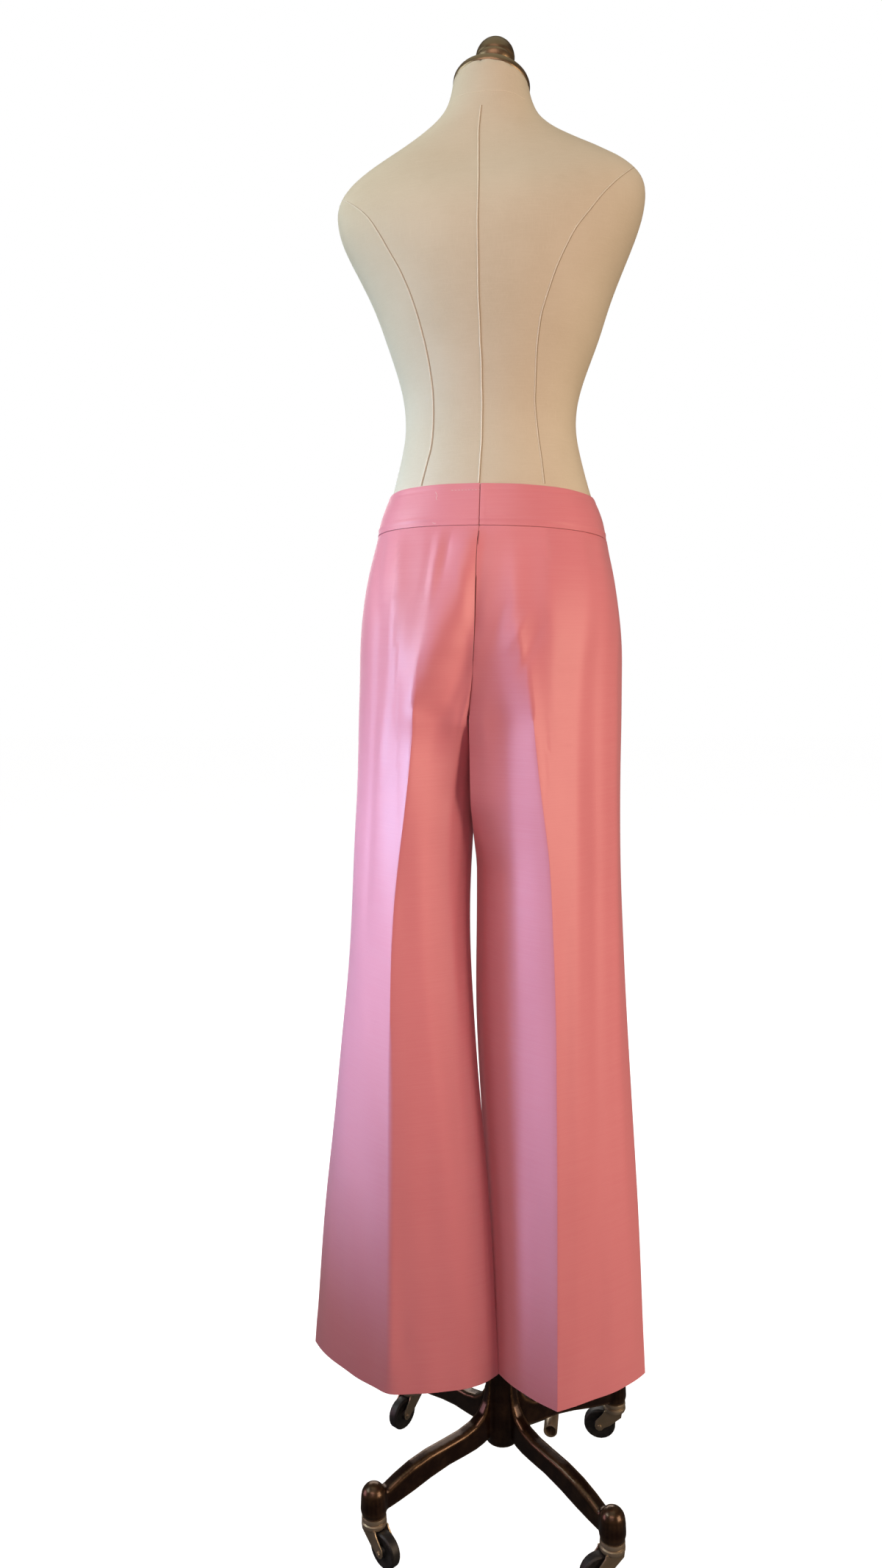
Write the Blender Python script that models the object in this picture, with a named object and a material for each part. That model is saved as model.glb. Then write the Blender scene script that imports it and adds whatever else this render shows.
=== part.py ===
"""Wide-leg trousers on a limbless dress form with a wheeled base.

Metres, +Z up, the floor at z = 0.  The wearer faces -Y, so the back of the trousers looks
along +Y and the wearer's left is +X.  The pole stands near the origin, which is the middle of
the floor area that the whole object covers.
"""
import math

import bmesh
import bpy
import numpy as np
from mathutils import Matrix, Vector

# ---------------------------------------------------------------- driving sizes
WALL = 0.0015            # cloth of a leg panel
BAND_WALL = 0.0021       # waistband, two layers and an interlining
SEAM = 0.0003            # space between two pieces that are sewn together
FIT = 0.0009             # space between the form and the cloth that rests on it
RUN = 0.0003             # space between parts that turn or slide on each other

NECK_X = 0.0003          # the neck's middle, measured across from the pole
FORM_FOOT = 1.199        # underside of the torso, above the trousers' crotch
RING_POWER = 2.2         # 2 is an ellipse; a torso is a little squarer
SHOULDER_LEAN = 0.028    # fall of the shoulder line towards the wearer's left
NECK_Z = 1.8925          # middle of the neck's sloping top
NECK_SLOPE = math.radians(22)     # the neck's top faces up and forwards
NECK_ROLL = math.radians(4.5)      # and its left edge stands higher
NECK_R = 0.0476

WAIST_SEAM_Z, WAIST_SEAM_TILT = 1.348, 0.10    # height at y = 0, and rise towards the back
WAIST_TOP_Z, WAIST_TOP_TILT = 1.398, 0.12
WAIST_LEAN = 0.030       # the waist is a little higher on the wearer's left
CROTCH_Z = 1.124
HEM_Z = 0.234
HIP_Z = 1.174            # below this height the panels' rows are level

POLE_R = 0.0125
POLE_FOOT = 0.088
HUB_FOOT = 0.086
HUB_TOP = 0.209
LEG_REACH = 0.2110       # pole to caster stem
BOSS_R = 0.0182
BOSS_FOOT = 0.0630
BOSS_TOP = 0.1075
WHEEL_R = 0.0236
WHEEL_W = 0.0150
TRAIL = 0.0220           # caster stem to axle
SPOKES = (41.5, 138.5, 221.5, 318.5)                                  # the four feet, in degrees
PEDAL_PIVOT = Vector((-0.006, -0.0310, 0.0790))
PEDAL_TUBE_X = -0.0665
PEDAL_TUBE_Z = 0.0740
LEVER_HALF = 0.0035      # half the thickness of the pedal's lever
CASTERS = {"back_left": (41.5, 142), "back_right": (138.5, 28),   # foot angle, wheel heading
           "front_right": (221.5, -2), "front_left": (318.5, 58)}

CENTRE = Vector((-0.03115, -0.00732, 0.0))    # moves the whole part so that its box is centred

# The torso, from foot to neck: height, half width, depth to the back, depth to the front,
# and its middle across.
TORSO = (
    (FORM_FOOT, 0.1490, 0.1080, 0.0940, 0.0055),
    (1.210, 0.1545, 0.1150, 0.0990, 0.0055),
    (1.229, 0.1565, 0.1178, 0.1010, 0.0055),
    (1.274, 0.1540, 0.1170, 0.1005, 0.0055),
    (1.314, 0.1495, 0.1130, 0.0990, 0.0055),
    (1.348, 0.1450, 0.1080, 0.0970, 0.0055),
    (1.374, 0.1385, 0.1030, 0.0965, 0.0053),
    (1.404, 0.1272, 0.0960, 0.0955, 0.0050),
    (1.444, 0.1165, 0.0875, 0.0925, 0.0050),
    (1.474, 0.1095, 0.0810, 0.0890, 0.0048),
    (1.499, 0.1085, 0.0790, 0.0875, 0.0045),
    (1.524, 0.1115, 0.0810, 0.0890, 0.0035),
    (1.554, 0.1200, 0.0860, 0.0950, 0.0020),
    (1.594, 0.1350, 0.0940, 0.1100, 0.0005),
    (1.634, 0.1475, 0.1010, 0.1270, 0.0015),
    (1.674, 0.1655, 0.1060, 0.1330, 0.0020),
    (1.714, 0.1850, 0.1050, 0.1230, 0.0030),
    (1.739, 0.1925, 0.1000, 0.1120, 0.0035),
    (1.761, 0.1942, 0.0900, 0.0980, 0.0040),
    (1.777, 0.1882, 0.0800, 0.0880, 0.0045),
    (1.792, 0.1735, 0.0710, 0.0780, 0.0065),
    (1.808, 0.1475, 0.0640, 0.0690, 0.0085),
    (1.824, 0.1140, 0.0580, 0.0610, 0.0085),
    (1.839, 0.0855, 0.0540, 0.0550, 0.0075),
    (1.854, 0.0650, 0.0515, 0.0510, 0.0045),
    (1.868, 0.0550, 0.0495, 0.0485, 0.0015),
)
NECK_RINGS = 2           # from the last torso row up to the sloping neck top

# One leg: height, inner edge (x, y of the back, y of the front), back crease (x, y),
# front crease (x, y), side seam (x, y), and how far it hangs free of the form (0 to 1).
LEFT_LEG = (
    (1.348, 0.0070, 0.112, -0.100, 0.054, 0.113, 0.060, -0.100, 0.1560, 0.000, 0.00),
    (1.304, 0.0090, 0.120, -0.103, 0.063, 0.125, 0.068, -0.104, 0.1675, 0.000, 0.55),
    (1.254, 0.0110, 0.122, -0.106, 0.069, 0.130, 0.073, -0.109, 0.1750, 0.000, 0.90),
    (1.214, 0.0130, 0.121, -0.104, 0.074, 0.132, 0.077, -0.109, 0.1790, 0.000, 1.00),
    (1.192, 0.0150, 0.115, -0.098, 0.078, 0.132, 0.080, -0.109, 0.1803, 0.000, 1.00),
    (1.164, 0.0180, 0.089, -0.074, 0.082, 0.132, 0.083, -0.108, 0.1815, 0.001, 1.00),
    (1.139, 0.0220, 0.048, -0.030, 0.085, 0.131, 0.087, -0.108, 0.1828, 0.002, 1.00),
    (1.124, 0.0245, 0.016, 0.0160, 0.087, 0.131, 0.089, -0.107, 0.1835, 0.003, 1.00),
    (1.024, 0.0250, 0.030, 0.0300, 0.099, 0.130, 0.097, -0.103, 0.1873, 0.006, 1.00),
    (0.944, 0.0305, 0.034, 0.0340, 0.111, 0.129, 0.104, -0.098, 0.1933, 0.009, 1.00),
    (0.854, 0.0340, 0.038, 0.0380, 0.121, 0.128, 0.111, -0.093, 0.1983, 0.012, 1.00),
    (0.754, 0.0285, 0.045, 0.0450, 0.125, 0.128, 0.115, -0.086, 0.2063, 0.016, 1.00),
    (0.654, 0.0230, 0.050, 0.0500, 0.127, 0.129, 0.116, -0.079, 0.2183, 0.019, 1.00),
    (0.554, 0.0145, 0.055, 0.0550, 0.129, 0.130, 0.117, -0.071, 0.2303, 0.022, 1.00),
    (0.454, 0.0058, 0.060, 0.0600, 0.131, 0.132, 0.117, -0.063, 0.2423, 0.026, 1.00),
    (0.354, 0.0006, 0.069, 0.0690, 0.133, 0.134, 0.118, -0.055, 0.2523, 0.029, 1.00),
    (0.234, -0.0030, 0.072, 0.0720, 0.136, 0.137, 0.118, -0.046, 0.2623, 0.033, 1.00),
)
RIGHT_LEG = (
    (1.348, 0.0070, 0.112, -0.100, -0.035, 0.113, -0.046, -0.100, -0.1390, 0.000, 0.00),
    (1.304, 0.0090, 0.120, -0.103, -0.037, 0.125, -0.048, -0.104, -0.1540, 0.000, 0.55),
    (1.254, 0.0110, 0.122, -0.106, -0.041, 0.130, -0.050, -0.109, -0.160, 0.000, 0.90),
    (1.214, 0.0130, 0.121, -0.104, -0.048, 0.132, -0.052, -0.109, -0.1630, 0.000, 1.00),
    (1.192, 0.0150, 0.115, -0.098, -0.052, 0.132, -0.054, -0.109, -0.1635, 0.000, 1.00),
    (1.164, 0.0180, 0.089, -0.074, -0.055, 0.132, -0.057, -0.108, -0.1635, 0.001, 1.00),
    (1.139, 0.0220, 0.048, -0.030, -0.058, 0.132, -0.060, -0.108, -0.1635, 0.002, 1.00),
    (1.124, 0.0245, 0.016, 0.0160, -0.059, 0.132, -0.061, -0.108, -0.1635, 0.003, 1.00),
    (1.024, 0.0250, 0.030, 0.0300, -0.069, 0.131, -0.066, -0.107, -0.162, 0.008, 1.00),
    (0.944, 0.0262, 0.012, 0.0120, -0.079, 0.130, -0.070, -0.106, -0.162, 0.012, 1.00),
    (0.854, 0.0275, 0.006, 0.0060, -0.082, 0.130, -0.073, -0.104, -0.165, 0.016, 1.00),
    (0.754, 0.0325, -0.006, -0.0060, -0.086, 0.130, -0.074, -0.102, -0.170, 0.021, 1.00),
    (0.654, 0.0290, -0.006, -0.0060, -0.086, 0.132, -0.074, -0.100, -0.177, 0.026, 1.00),
    (0.554, 0.0225, -0.004, -0.0040, -0.087, 0.134, -0.073, -0.098, -0.183, 0.031, 1.00),
    (0.454, 0.0185, -0.002, -0.0020, -0.087, 0.136, -0.072, -0.096, -0.189, 0.035, 1.00),
    (0.354, 0.0175, 0.000, 0.0000, -0.087, 0.138, -0.071, -0.094, -0.194, 0.039, 1.00),
    (0.234, 0.0170, 0.000, 0.0000, -0.087, 0.141, -0.070, -0.092, -0.200, 0.044, 1.00),
)
# How crisp the pressed crease is: 2 is soft, 1 is a fold.
CRISP = ((1.348, 2.0), (1.284, 1.8), (1.220, 1.45), (1.164, 1.15), (1.084, 1.0), (0.234, 1.0))
# How round the inner edge is: height, back panels, right front, left front.  Lower down, the
# left leg tucks in behind the right one.
INNER_ROUND = (
    (1.348, 1.00, 1.00, 1.00),
    (1.224, 1.15, 1.15, 1.15),
    (1.164, 1.70, 1.70, 1.70),
    (1.124, 2.40, 2.40, 2.40),
    (0.954, 2.40, 2.40, 2.20),
    (0.774, 2.40, 2.40, 1.50),
    (0.574, 2.35, 2.35, 1.20),
    (0.234, 2.40, 2.40, 1.05),
)
SIDE_ROUND = ((1.348, 2.1), (1.124, 1.9), (0.674, 1.6), (0.234, 1.35))

ROWS = (WAIST_SEAM_Z, 1.330, 1.308, 1.283, 1.258, 1.234, 1.212, 1.192, 1.174, 1.156, 1.139,
        CROTCH_Z, 1.102, 1.064, 1.014, 0.954, 0.894, 0.824, 0.744, 0.654, 0.554, 0.444, 0.334,
        HEM_Z)
INNER_COLUMNS, OUTER_COLUMNS = 6, 8

# Soft folds in the hanging cloth: which back panel, across (x), top, foot, half width, height.
FOLDS = (
    ("left", 0.122, 1.348, 1.244, 0.012, 0.0040),
    ("left", 0.064, 1.348, 1.274, 0.010, 0.0030),
    ("right", -0.094, 1.348, 1.184, 0.013, 0.0035),
    ("right", -0.136, 1.348, 1.204, 0.012, 0.0035),
    ("right", -0.052, 1.259, 1.209, 0.011, -0.0040),
    ("right", -0.074, 1.274, 1.229, 0.010, 0.0030),
)

CLOTH = ("trouser_cloth", (0.74, 0.30, 0.36), 0.42, 0.0)
LINEN = ("form_linen", (0.74, 0.68, 0.55), 0.90, 0.0)
BRONZE = ("cap_bronze", (0.20, 0.15, 0.10), 0.35, 0.9)
IRON = ("base_iron", (0.045, 0.028, 0.022), 0.38, 0.8)
STEEL = ("pole_steel", (0.35, 0.33, 0.31), 0.35, 1.0)
BRASS = ("caster_brass", (0.26, 0.19, 0.11), 0.38, 0.9)
RUBBER = ("wheel_rubber", (0.012, 0.012, 0.012), 0.55, 0.0)


# ---------------------------------------------------------------- scene helpers
def clear_scene():
    for thing in list(bpy.data.objects):
        bpy.data.objects.remove(thing, do_unlink=True)


def material(spec):
    name, colour, roughness, metallic = spec
    if name in bpy.data.materials:
        return bpy.data.materials[name]
    made = bpy.data.materials.new(name)
    made.use_nodes = True
    shader = made.node_tree.nodes["Principled BSDF"]
    shader.inputs["Base Color"].default_value = (*colour, 1.0)
    shader.inputs["Roughness"].default_value = roughness
    shader.inputs["Metallic"].default_value = metallic
    return made


def add_object(name, bm, spec, smooth_angle=35):
    """Close a bmesh into a named object with its faces pointing out."""
    bmesh.ops.recalc_face_normals(bm, faces=bm.faces)
    if bm.calc_volume(signed=True) < 0:
        bmesh.ops.reverse_faces(bm, faces=bm.faces)
    bmesh.ops.translate(bm, verts=bm.verts, vec=CENTRE)
    mesh = bpy.data.meshes.new(name)
    bm.to_mesh(mesh)
    bm.free()
    mesh.shade_smooth()
    mesh.set_sharp_from_angle(angle=math.radians(smooth_angle))
    mesh.materials.append(material(spec))
    made = bpy.data.objects.new(name, mesh)
    bpy.context.scene.collection.objects.link(made)
    return made


def as_guide(obj):
    """A shape that only cuts or joins another: it isn't a piece."""
    obj.hide_render = True
    obj.display_type = "WIRE"
    return obj


def boolean(target, other, operation):
    step = target.modifiers.new(f"{operation.lower()} {other.name}", "BOOLEAN")
    step.operation = operation
    step.object = other


def turned(profile, steps):
    """Spin a closed profile of (radius, height) pairs once round the Z axis."""
    bm = bmesh.new()
    points = [bm.verts.new((r, 0.0, z)) for r, z in profile]
    edges = [bm.edges.new(pair) for pair in zip(points, points[1:])]
    if profile[0][0] > 0.0:
        edges.append(bm.edges.new((points[-1], points[0])))
    bmesh.ops.spin(bm, geom=points + edges, cent=(0, 0, 0), axis=(0, 0, 1),
                   angle=math.tau, steps=steps, use_merge=True, use_duplicate=False)
    bmesh.ops.remove_doubles(bm, verts=bm.verts, dist=1e-6)
    return bm


def smooth_value(table, where, column=1):
    """Read a table of falling or rising keys with a smooth curve that never overshoots."""
    rows = sorted(table, key=lambda row: row[0])
    keys = np.array([row[0] for row in rows])
    values = np.array([row[column] for row in rows])
    where = min(max(where, keys[0]), keys[-1])
    slopes = np.diff(values) / np.diff(keys)
    tangents = np.zeros(len(keys))
    for i in range(1, len(keys) - 1):
        if slopes[i - 1] * slopes[i] > 0:
            tangents[i] = 2 * slopes[i - 1] * slopes[i] / (slopes[i - 1] + slopes[i])
    tangents[0], tangents[-1] = slopes[0], slopes[-1]
    i = int(min(np.searchsorted(keys, where, side="right") - 1, len(keys) - 2))
    span = keys[i + 1] - keys[i]
    t = (where - keys[i]) / span
    return float((1 + 2 * t) * (1 - t) ** 2 * values[i] + t * (1 - t) ** 2 * span * tangents[i]
                 + t * t * (3 - 2 * t) * values[i + 1] + t * t * (t - 1) * span * tangents[i + 1])


# ---------------------------------------------------------------- dress form
def torso_size(z):
    return tuple(smooth_value(TORSO, z, column) for column in (1, 2, 3, 4))


def torso_point(z, angle, proud=0.0):
    """A point of the torso's outline at height z; angle 90 degrees is the middle of the back."""
    half, back, front, middle = torso_size(z)
    cosine, sine = math.cos(angle), math.sin(angle)
    depth = (back if sine >= 0 else front) + proud
    x = math.copysign(abs(cosine) ** (2 / RING_POWER), cosine) * (half + proud)
    y = math.copysign(abs(sine) ** (2 / RING_POWER), sine) * depth
    return middle + x, y


def clear_of_torso(x, y, z, proud):
    """Move a point outwards until it lies at least `proud` off the torso."""
    if z < FORM_FOOT - 0.004:
        return x, y
    half, back, front, middle = torso_size(z)
    depth = (back if y >= 0 else front) + proud
    reach = (abs(x - middle) / (half + proud)) ** RING_POWER + (abs(y) / depth) ** RING_POWER
    if reach >= 1:
        return x, y
    push = reach ** (-1 / RING_POWER)
    return middle + (x - middle) * push, y * push


def loft(rings, name, spec):
    """Bridge closed rings from foot to top and cap both ends."""
    bm = bmesh.new()
    loops = []
    for ring in rings:
        verts = [bm.verts.new(point) for point in ring]
        loops.append([bm.edges.new((a, b)) for a, b in zip(verts, verts[1:] + verts[:1])])
    for lower, upper in zip(loops, loops[1:]):
        bmesh.ops.bridge_loops(bm, edges=lower + upper)
    for loop in (loops[0], loops[-1]):
        bmesh.ops.contextual_create(bm, geom=loop)
    return add_object(name, bm, spec)


def lean(x, z):
    """How far the torso's left shoulder sits below its right one at this point."""
    share = min(max((z - 1.634) / 0.10, 0.0), 1.0) * min(max((1.904 - z) / 0.08, 0.0), 1.0)
    return -SHOULDER_LEAN * x * share


def make_torso():
    steps = 32
    heights = []
    for low, high in zip(TORSO, TORSO[1:]):
        heights.append(low[0])
        if high[0] - low[0] > 0.045:
            heights.append((low[0] + high[0]) / 2)
    heights.append(TORSO[-1][0])
    angles = [math.tau * i / steps for i in range(steps)]
    rings = []
    for z in heights:
        ring = [torso_point(z, angle) for angle in angles]
        rings.append([(x, y, z + lean(x, z)) for x, y in ring])
    base_ring = rings[-1]
    place = neck_place()
    for i in range(1, NECK_RINGS + 1):
        share = (i / NECK_RINGS)
        ring = []
        for angle, low in zip(angles, base_ring):
            x, y, z = place @ Vector((NECK_R * math.cos(angle), NECK_R * math.sin(angle), 0.0))
            ease = share ** 0.6
            ring.append((low[0] + (x - low[0]) * ease, low[1] + (y - low[1]) * ease,
                         low[2] + (z - low[2]) * share))
        rings.append(ring)
    return loft(rings, "form_torso", LINEN)


def neck_place():
    """Where the neck's sloping top lies: its middle is the origin and its plane is level."""
    slope = Matrix.Rotation(-NECK_ROLL, 4, "Y") @ Matrix.Rotation(NECK_SLOPE, 4, "X")
    return Matrix.Translation((NECK_X, 0.0, NECK_Z)) @ slope


def make_neck_cap():
    """A turned metal cap with a rim, and a knob on a short stem."""
    profile = ((0.0, RUN), (0.0464, RUN), (0.0477, 0.0030), (0.0472, 0.0085),
               (0.0450, 0.0105), (0.0140, 0.0140), (0.0118, 0.0185), (0.0128, 0.0270),
               (0.0180, 0.0318), (0.0222, 0.0383), (0.0243, 0.0482), (0.0231, 0.0557),
               (0.0197, 0.0624), (0.0140, 0.0680), (0.0073, 0.0714), (0.0, 0.0725))
    bm = turned(profile, 24)
    bmesh.ops.transform(bm, matrix=neck_place(), verts=bm.verts)
    return add_object("neck_cap", bm, BRONZE)


# ---------------------------------------------------------------- cloth
def corner_arc(crease, edge, crisp, roundness, count):
    """Points from the crease to an edge: part of a superellipse about (crease x, edge y)."""
    turn = np.linspace(0.0, math.pi / 2, 240)
    x = crease[0] + (edge[0] - crease[0]) * np.sin(turn) ** (2 / crisp)
    y = edge[1] + (crease[1] - edge[1]) * np.cos(turn) ** (2 / roundness)
    return even_points(np.stack([x, y], axis=1), count, 0.0, SEAM / 2)


def even_points(line, count, trim_start, trim_end):
    """Count + 1 points at even steps along a line, with a little trimmed off its ends."""
    steps = np.hypot(*np.diff(line, axis=0).T)
    along = np.concatenate([[0.0], np.cumsum(steps)])
    stops = np.linspace(trim_start, along[-1] - trim_end, count + 1)
    return np.stack([np.interp(stops, along, line[:, k]) for k in (0, 1)], axis=1)


def ring_part(z, x_from, side_sign, back, x_crease):
    """The same stretch as a panel's row, but lying on the torso: inner edge, crease, side."""
    lift = FIT + WALL
    start, end = (math.pi / 2, 0.0) if side_sign > 0 else (math.pi / 2, math.pi)
    if not back:
        start, end = -start, -end
    line = []
    for angle in np.linspace(start, end, 240):
        x, y = torso_point(z, angle, lift)
        line.append(torso_point(z + waist_rise(z, x, y), angle, lift))
    line = np.array(line)
    across = side_sign * line[:, 0]
    seam_y = np.interp(side_sign * x_from, across, line[:, 1])
    line = np.concatenate([[(x_from, seam_y)], line[across > side_sign * x_from + 1e-5]])
    at_crease = int(np.argmin(np.abs(line[:, 0] - x_crease)))
    inner = even_points(line[:at_crease + 1], INNER_COLUMNS, 0.0, 0.0)
    outer = even_points(line[at_crease:], OUTER_COLUMNS, 0.0, SEAM / 2)
    return np.concatenate([inner, outer[1:]])


def waist_rise(z, x, y):
    """The waist seam climbs to the back and to the left; the rows level out over the hips."""
    share = (z - HIP_Z) / (WAIST_SEAM_Z - HIP_Z)
    return (WAIST_SEAM_TILT * y + WAIST_LEAN * x) * min(max(share, 0.0), 1.0)


def panel_row(table, z, back, side_sign):
    """One row of a leg panel's outer surface, from its inner edge to the side seam."""
    read = [smooth_value(table, z, column) for column in range(1, 11)]
    inner_x, back_in_y, front_in_y, back_x, back_y, front_x, front_y, side_x, side_y, hang = read
    if z <= CROTCH_Z:
        front_in_y = back_in_y          # below the crotch both panels meet at the inseam
    inner_x += side_sign * SEAM / 2
    edge_in = (inner_x, back_in_y if back else front_in_y)
    crease = (back_x, back_y) if back else (front_x, front_y)
    crisp = smooth_value(CRISP, z)
    roundness = smooth_value(INNER_ROUND, z, 1 if back else (3 if side_sign > 0 else 2))
    inner = corner_arc(crease, edge_in, crisp, roundness, INNER_COLUMNS)
    outer = corner_arc(crease, (side_x, side_y), crisp, smooth_value(SIDE_ROUND, z),
                       OUTER_COLUMNS)
    free = np.concatenate([inner[::-1], outer[1:]])
    if hang < 1.0:
        lying = ring_part(z, inner_x, side_sign, back, crease[0])
        free = lying * (1 - hang) + free * hang
    row = []
    for x, y in free:
        height = z + waist_rise(z, x, y)
        x, y = clear_of_torso(x, y, height, FIT + WALL)
        row.append((x, y, height))
    return np.array(row)


def add_folds(grid, side):
    """Raise the soft folds: a bell across, fading out at the top and the foot."""
    for owner, x0, top, foot, half_width, height in FOLDS:
        if owner != side:
            continue
        for row in grid:
            along = (top - row[0, 2]) / (top - foot)
            if not -0.02 <= along <= 1.0:
                continue
            fade = math.sin(math.pi * min(max(0.15 + 0.85 * along, 0.0), 1.0))
            bell = np.exp(-((row[:, 0] - x0) / half_width) ** 2)
            row[:, 1] += height * fade * bell
    return grid


def grid_normals(grid, out_from):
    """Unit normals of a grid of points, turned away from a middle line."""
    down = np.gradient(grid, axis=0)
    across = np.gradient(grid, axis=1)
    normals = np.cross(down, across)
    normals /= np.linalg.norm(normals, axis=2, keepdims=True)
    middle = grid.mean(axis=1, keepdims=True) * (1, 0, 1) + np.array([0.0, out_from, 0.0])
    if np.sum(normals * (grid - middle)) < 0:
        normals = -normals
    return normals


def walled(outer, inner, name, spec):
    """A closed wall between two grids of points with the same rows and columns."""
    rows, columns, _ = outer.shape
    bm = bmesh.new()
    sheets = []
    for grid in (outer, inner):
        sheets.append([[bm.verts.new(point) for point in row] for row in grid])
    for r in range(rows - 1):
        for c in range(columns - 1):
            for sheet in sheets:
                bm.faces.new((sheet[r][c], sheet[r][c + 1], sheet[r + 1][c + 1], sheet[r + 1][c]))
    rim = [(0, c) for c in range(columns)] + [(r, columns - 1) for r in range(1, rows)]
    rim += [(rows - 1, c) for c in range(columns - 2, -1, -1)] + [(r, 0) for r in range(rows - 2, 0, -1)]
    for here, there in zip(rim, rim[1:] + rim[:1]):
        a, b = sheets[0][here[0]][here[1]], sheets[0][there[0]][there[1]]
        c, d = sheets[1][there[0]][there[1]], sheets[1][here[0]][here[1]]
        bm.faces.new((a, b, c, d))
    return add_object(name, bm, spec)


def make_leg_panel(side, table, back):
    side_sign = 1 if side == "left" else -1
    outer = np.array([panel_row(table, z, back, side_sign) for z in ROWS])
    if back:
        outer = add_folds(outer, side)
    normals = grid_normals(outer, 0.03 if back else -0.03)
    normals[[0, -1], :, 2] = 0.0
    normals[:, -1] = (side_sign, 0.0, 0.0)
    for r, z in enumerate(ROWS):
        if z <= CROTCH_Z + 1e-6:
            normals[r, 0] = (-side_sign, 0.0, 0.0)
    normals /= np.linalg.norm(normals, axis=2, keepdims=True)
    inner = outer - normals * WALL
    edge_x = outer[:, 0, 0]
    if side_sign > 0:
        inner[:, :, 0] = np.maximum(inner[:, :, 0], edge_x[:, None])
    else:
        inner[:, :, 0] = np.minimum(inner[:, :, 0], edge_x[:, None])
    half = "back" if back else "front"
    return walled(outer, inner, f"{half}_leg_{side}", CLOTH)


def band_point(angle, share, lift):
    """A point of the waistband: share 0 is its lower seam and 1 its top edge."""
    z = WAIST_SEAM_Z
    for _ in range(5):
        x, y = torso_point(z, angle, FIT + WALL)
        low = WAIST_SEAM_Z + waist_rise(WAIST_SEAM_Z, x, y) + SEAM
        high = WAIST_TOP_Z + WAIST_TOP_TILT * y + WAIST_LEAN * x
        z = low + (high - low) * share
    return (*torso_point(z, angle, lift), z)


def make_waistband(name, start, end, columns):
    """A contoured strip that lies on the torso between two angles."""
    shares = np.linspace(0.0, 1.0, 4)
    angles = np.linspace(start, end, columns + 1)
    outer = [[band_point(a, s, FIT + BAND_WALL) for a in angles] for s in shares]
    inner = [[band_point(a, s, FIT) for a in angles] for s in shares]
    return walled(np.array(outer), np.array(inner), name, CLOTH)


def angle_at_x(x, z):
    """The angle near the middle of the back where the torso's outline reaches x."""
    half, _, _, middle = torso_size(z)
    share = (x - middle) / (half + FIT)
    return math.acos(math.copysign(abs(share) ** (RING_POWER / 2), share))


def make_trousers():
    for side, table in (("left", LEFT_LEG), ("right", RIGHT_LEG)):
        for back in (True, False):
            make_leg_panel(side, table, back)
    slit = angle_at_x(LEFT_LEG[0][1], 1.374)
    gap = SEAM / 2 / torso_size(1.374)[0]
    side_gap = SEAM / 2 / torso_size(1.374)[1]
    make_waistband("waistband_back_left", side_gap, slit - 1.6 * gap, 12)
    make_waistband("waistband_back_right", slit + 1.6 * gap, math.pi - side_gap, 12)
    make_waistband("waistband_front", -math.pi + side_gap, -side_gap, 20)


# ---------------------------------------------------------------- stand
def make_pole():
    """A steel pole with a flange that is screwed to the torso's underside."""
    top = FORM_FOOT - RUN
    profile = ((0.0, POLE_FOOT), (POLE_R - 0.001, POLE_FOOT), (POLE_R, POLE_FOOT + 0.001),
               (POLE_R, top - 0.012), (POLE_R + 0.004, top - 0.006), (0.034, top - 0.004),
               (0.034, top), (0.0, top))
    return add_object("pole", turned(profile, 20), STEEL)


# One foot of the base, from the hub out: reach, top height, underside, half width.
FOOT = (
    (0.0120, 0.1920, 0.0980, 0.0050),
    (0.0235, 0.1900, 0.0980, 0.0055),
    (0.0262, 0.1700, 0.0980, 0.0065),
    (0.0300, 0.1530, 0.0970, 0.0080),
    (0.0370, 0.1400, 0.0950, 0.0092),
    (0.0500, 0.1300, 0.0920, 0.0098),
    (0.0700, 0.1240, 0.0900, 0.0100),
    (0.0950, 0.1210, 0.0880, 0.0100),
    (0.1250, 0.1180, 0.0820, 0.0100),
    (0.1520, 0.1120, 0.0745, 0.0100),
    (0.1750, 0.1035, 0.0690, 0.0098),
    (0.1920, 0.0955, 0.0655, 0.0095),
    (LEG_REACH, 0.0910, 0.0650, 0.0090),
)


def make_foot(angle):
    """A cast foot: a bar with rounded shoulders that arches from the hub to its boss."""
    turn = Matrix.Rotation(math.radians(angle), 4, "Z")
    rings = []
    for reach, top, low, half in FOOT:
        edge = 0.0035
        outline = ((-half, low + edge), (-half + edge, low), (half - edge, low),
                   (half, low + edge), (half, top - edge), (half - edge, top),
                   (-half + edge, top), (-half, top - edge))
        rings.append([turn @ Vector((reach, side, z)) for side, z in outline])
    return as_guide(loft(rings, f"foot_{angle}", IRON))


def make_boss(angle):
    """A round-topped boss that takes a caster's stem."""
    top = BOSS_TOP
    dome = BOSS_R - 0.0012
    profile = [(0.0, BOSS_FOOT), (BOSS_R - 0.0020, BOSS_FOOT), (BOSS_R, BOSS_FOOT + 0.008),
               (dome, top - dome)]
    for i in range(1, 5):
        turn = math.radians(22.5 * i)
        profile.append((dome * math.cos(turn), top - dome + dome * math.sin(turn)))
    profile[-1] = (0.0, top)
    bm = turned(profile, 18)
    place = Matrix.Rotation(math.radians(angle), 4, "Z") @ Matrix.Translation((LEG_REACH, 0, 0))
    bmesh.ops.transform(bm, matrix=place, verts=bm.verts)
    return as_guide(add_object(f"boss_{angle}", bm, IRON))


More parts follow.
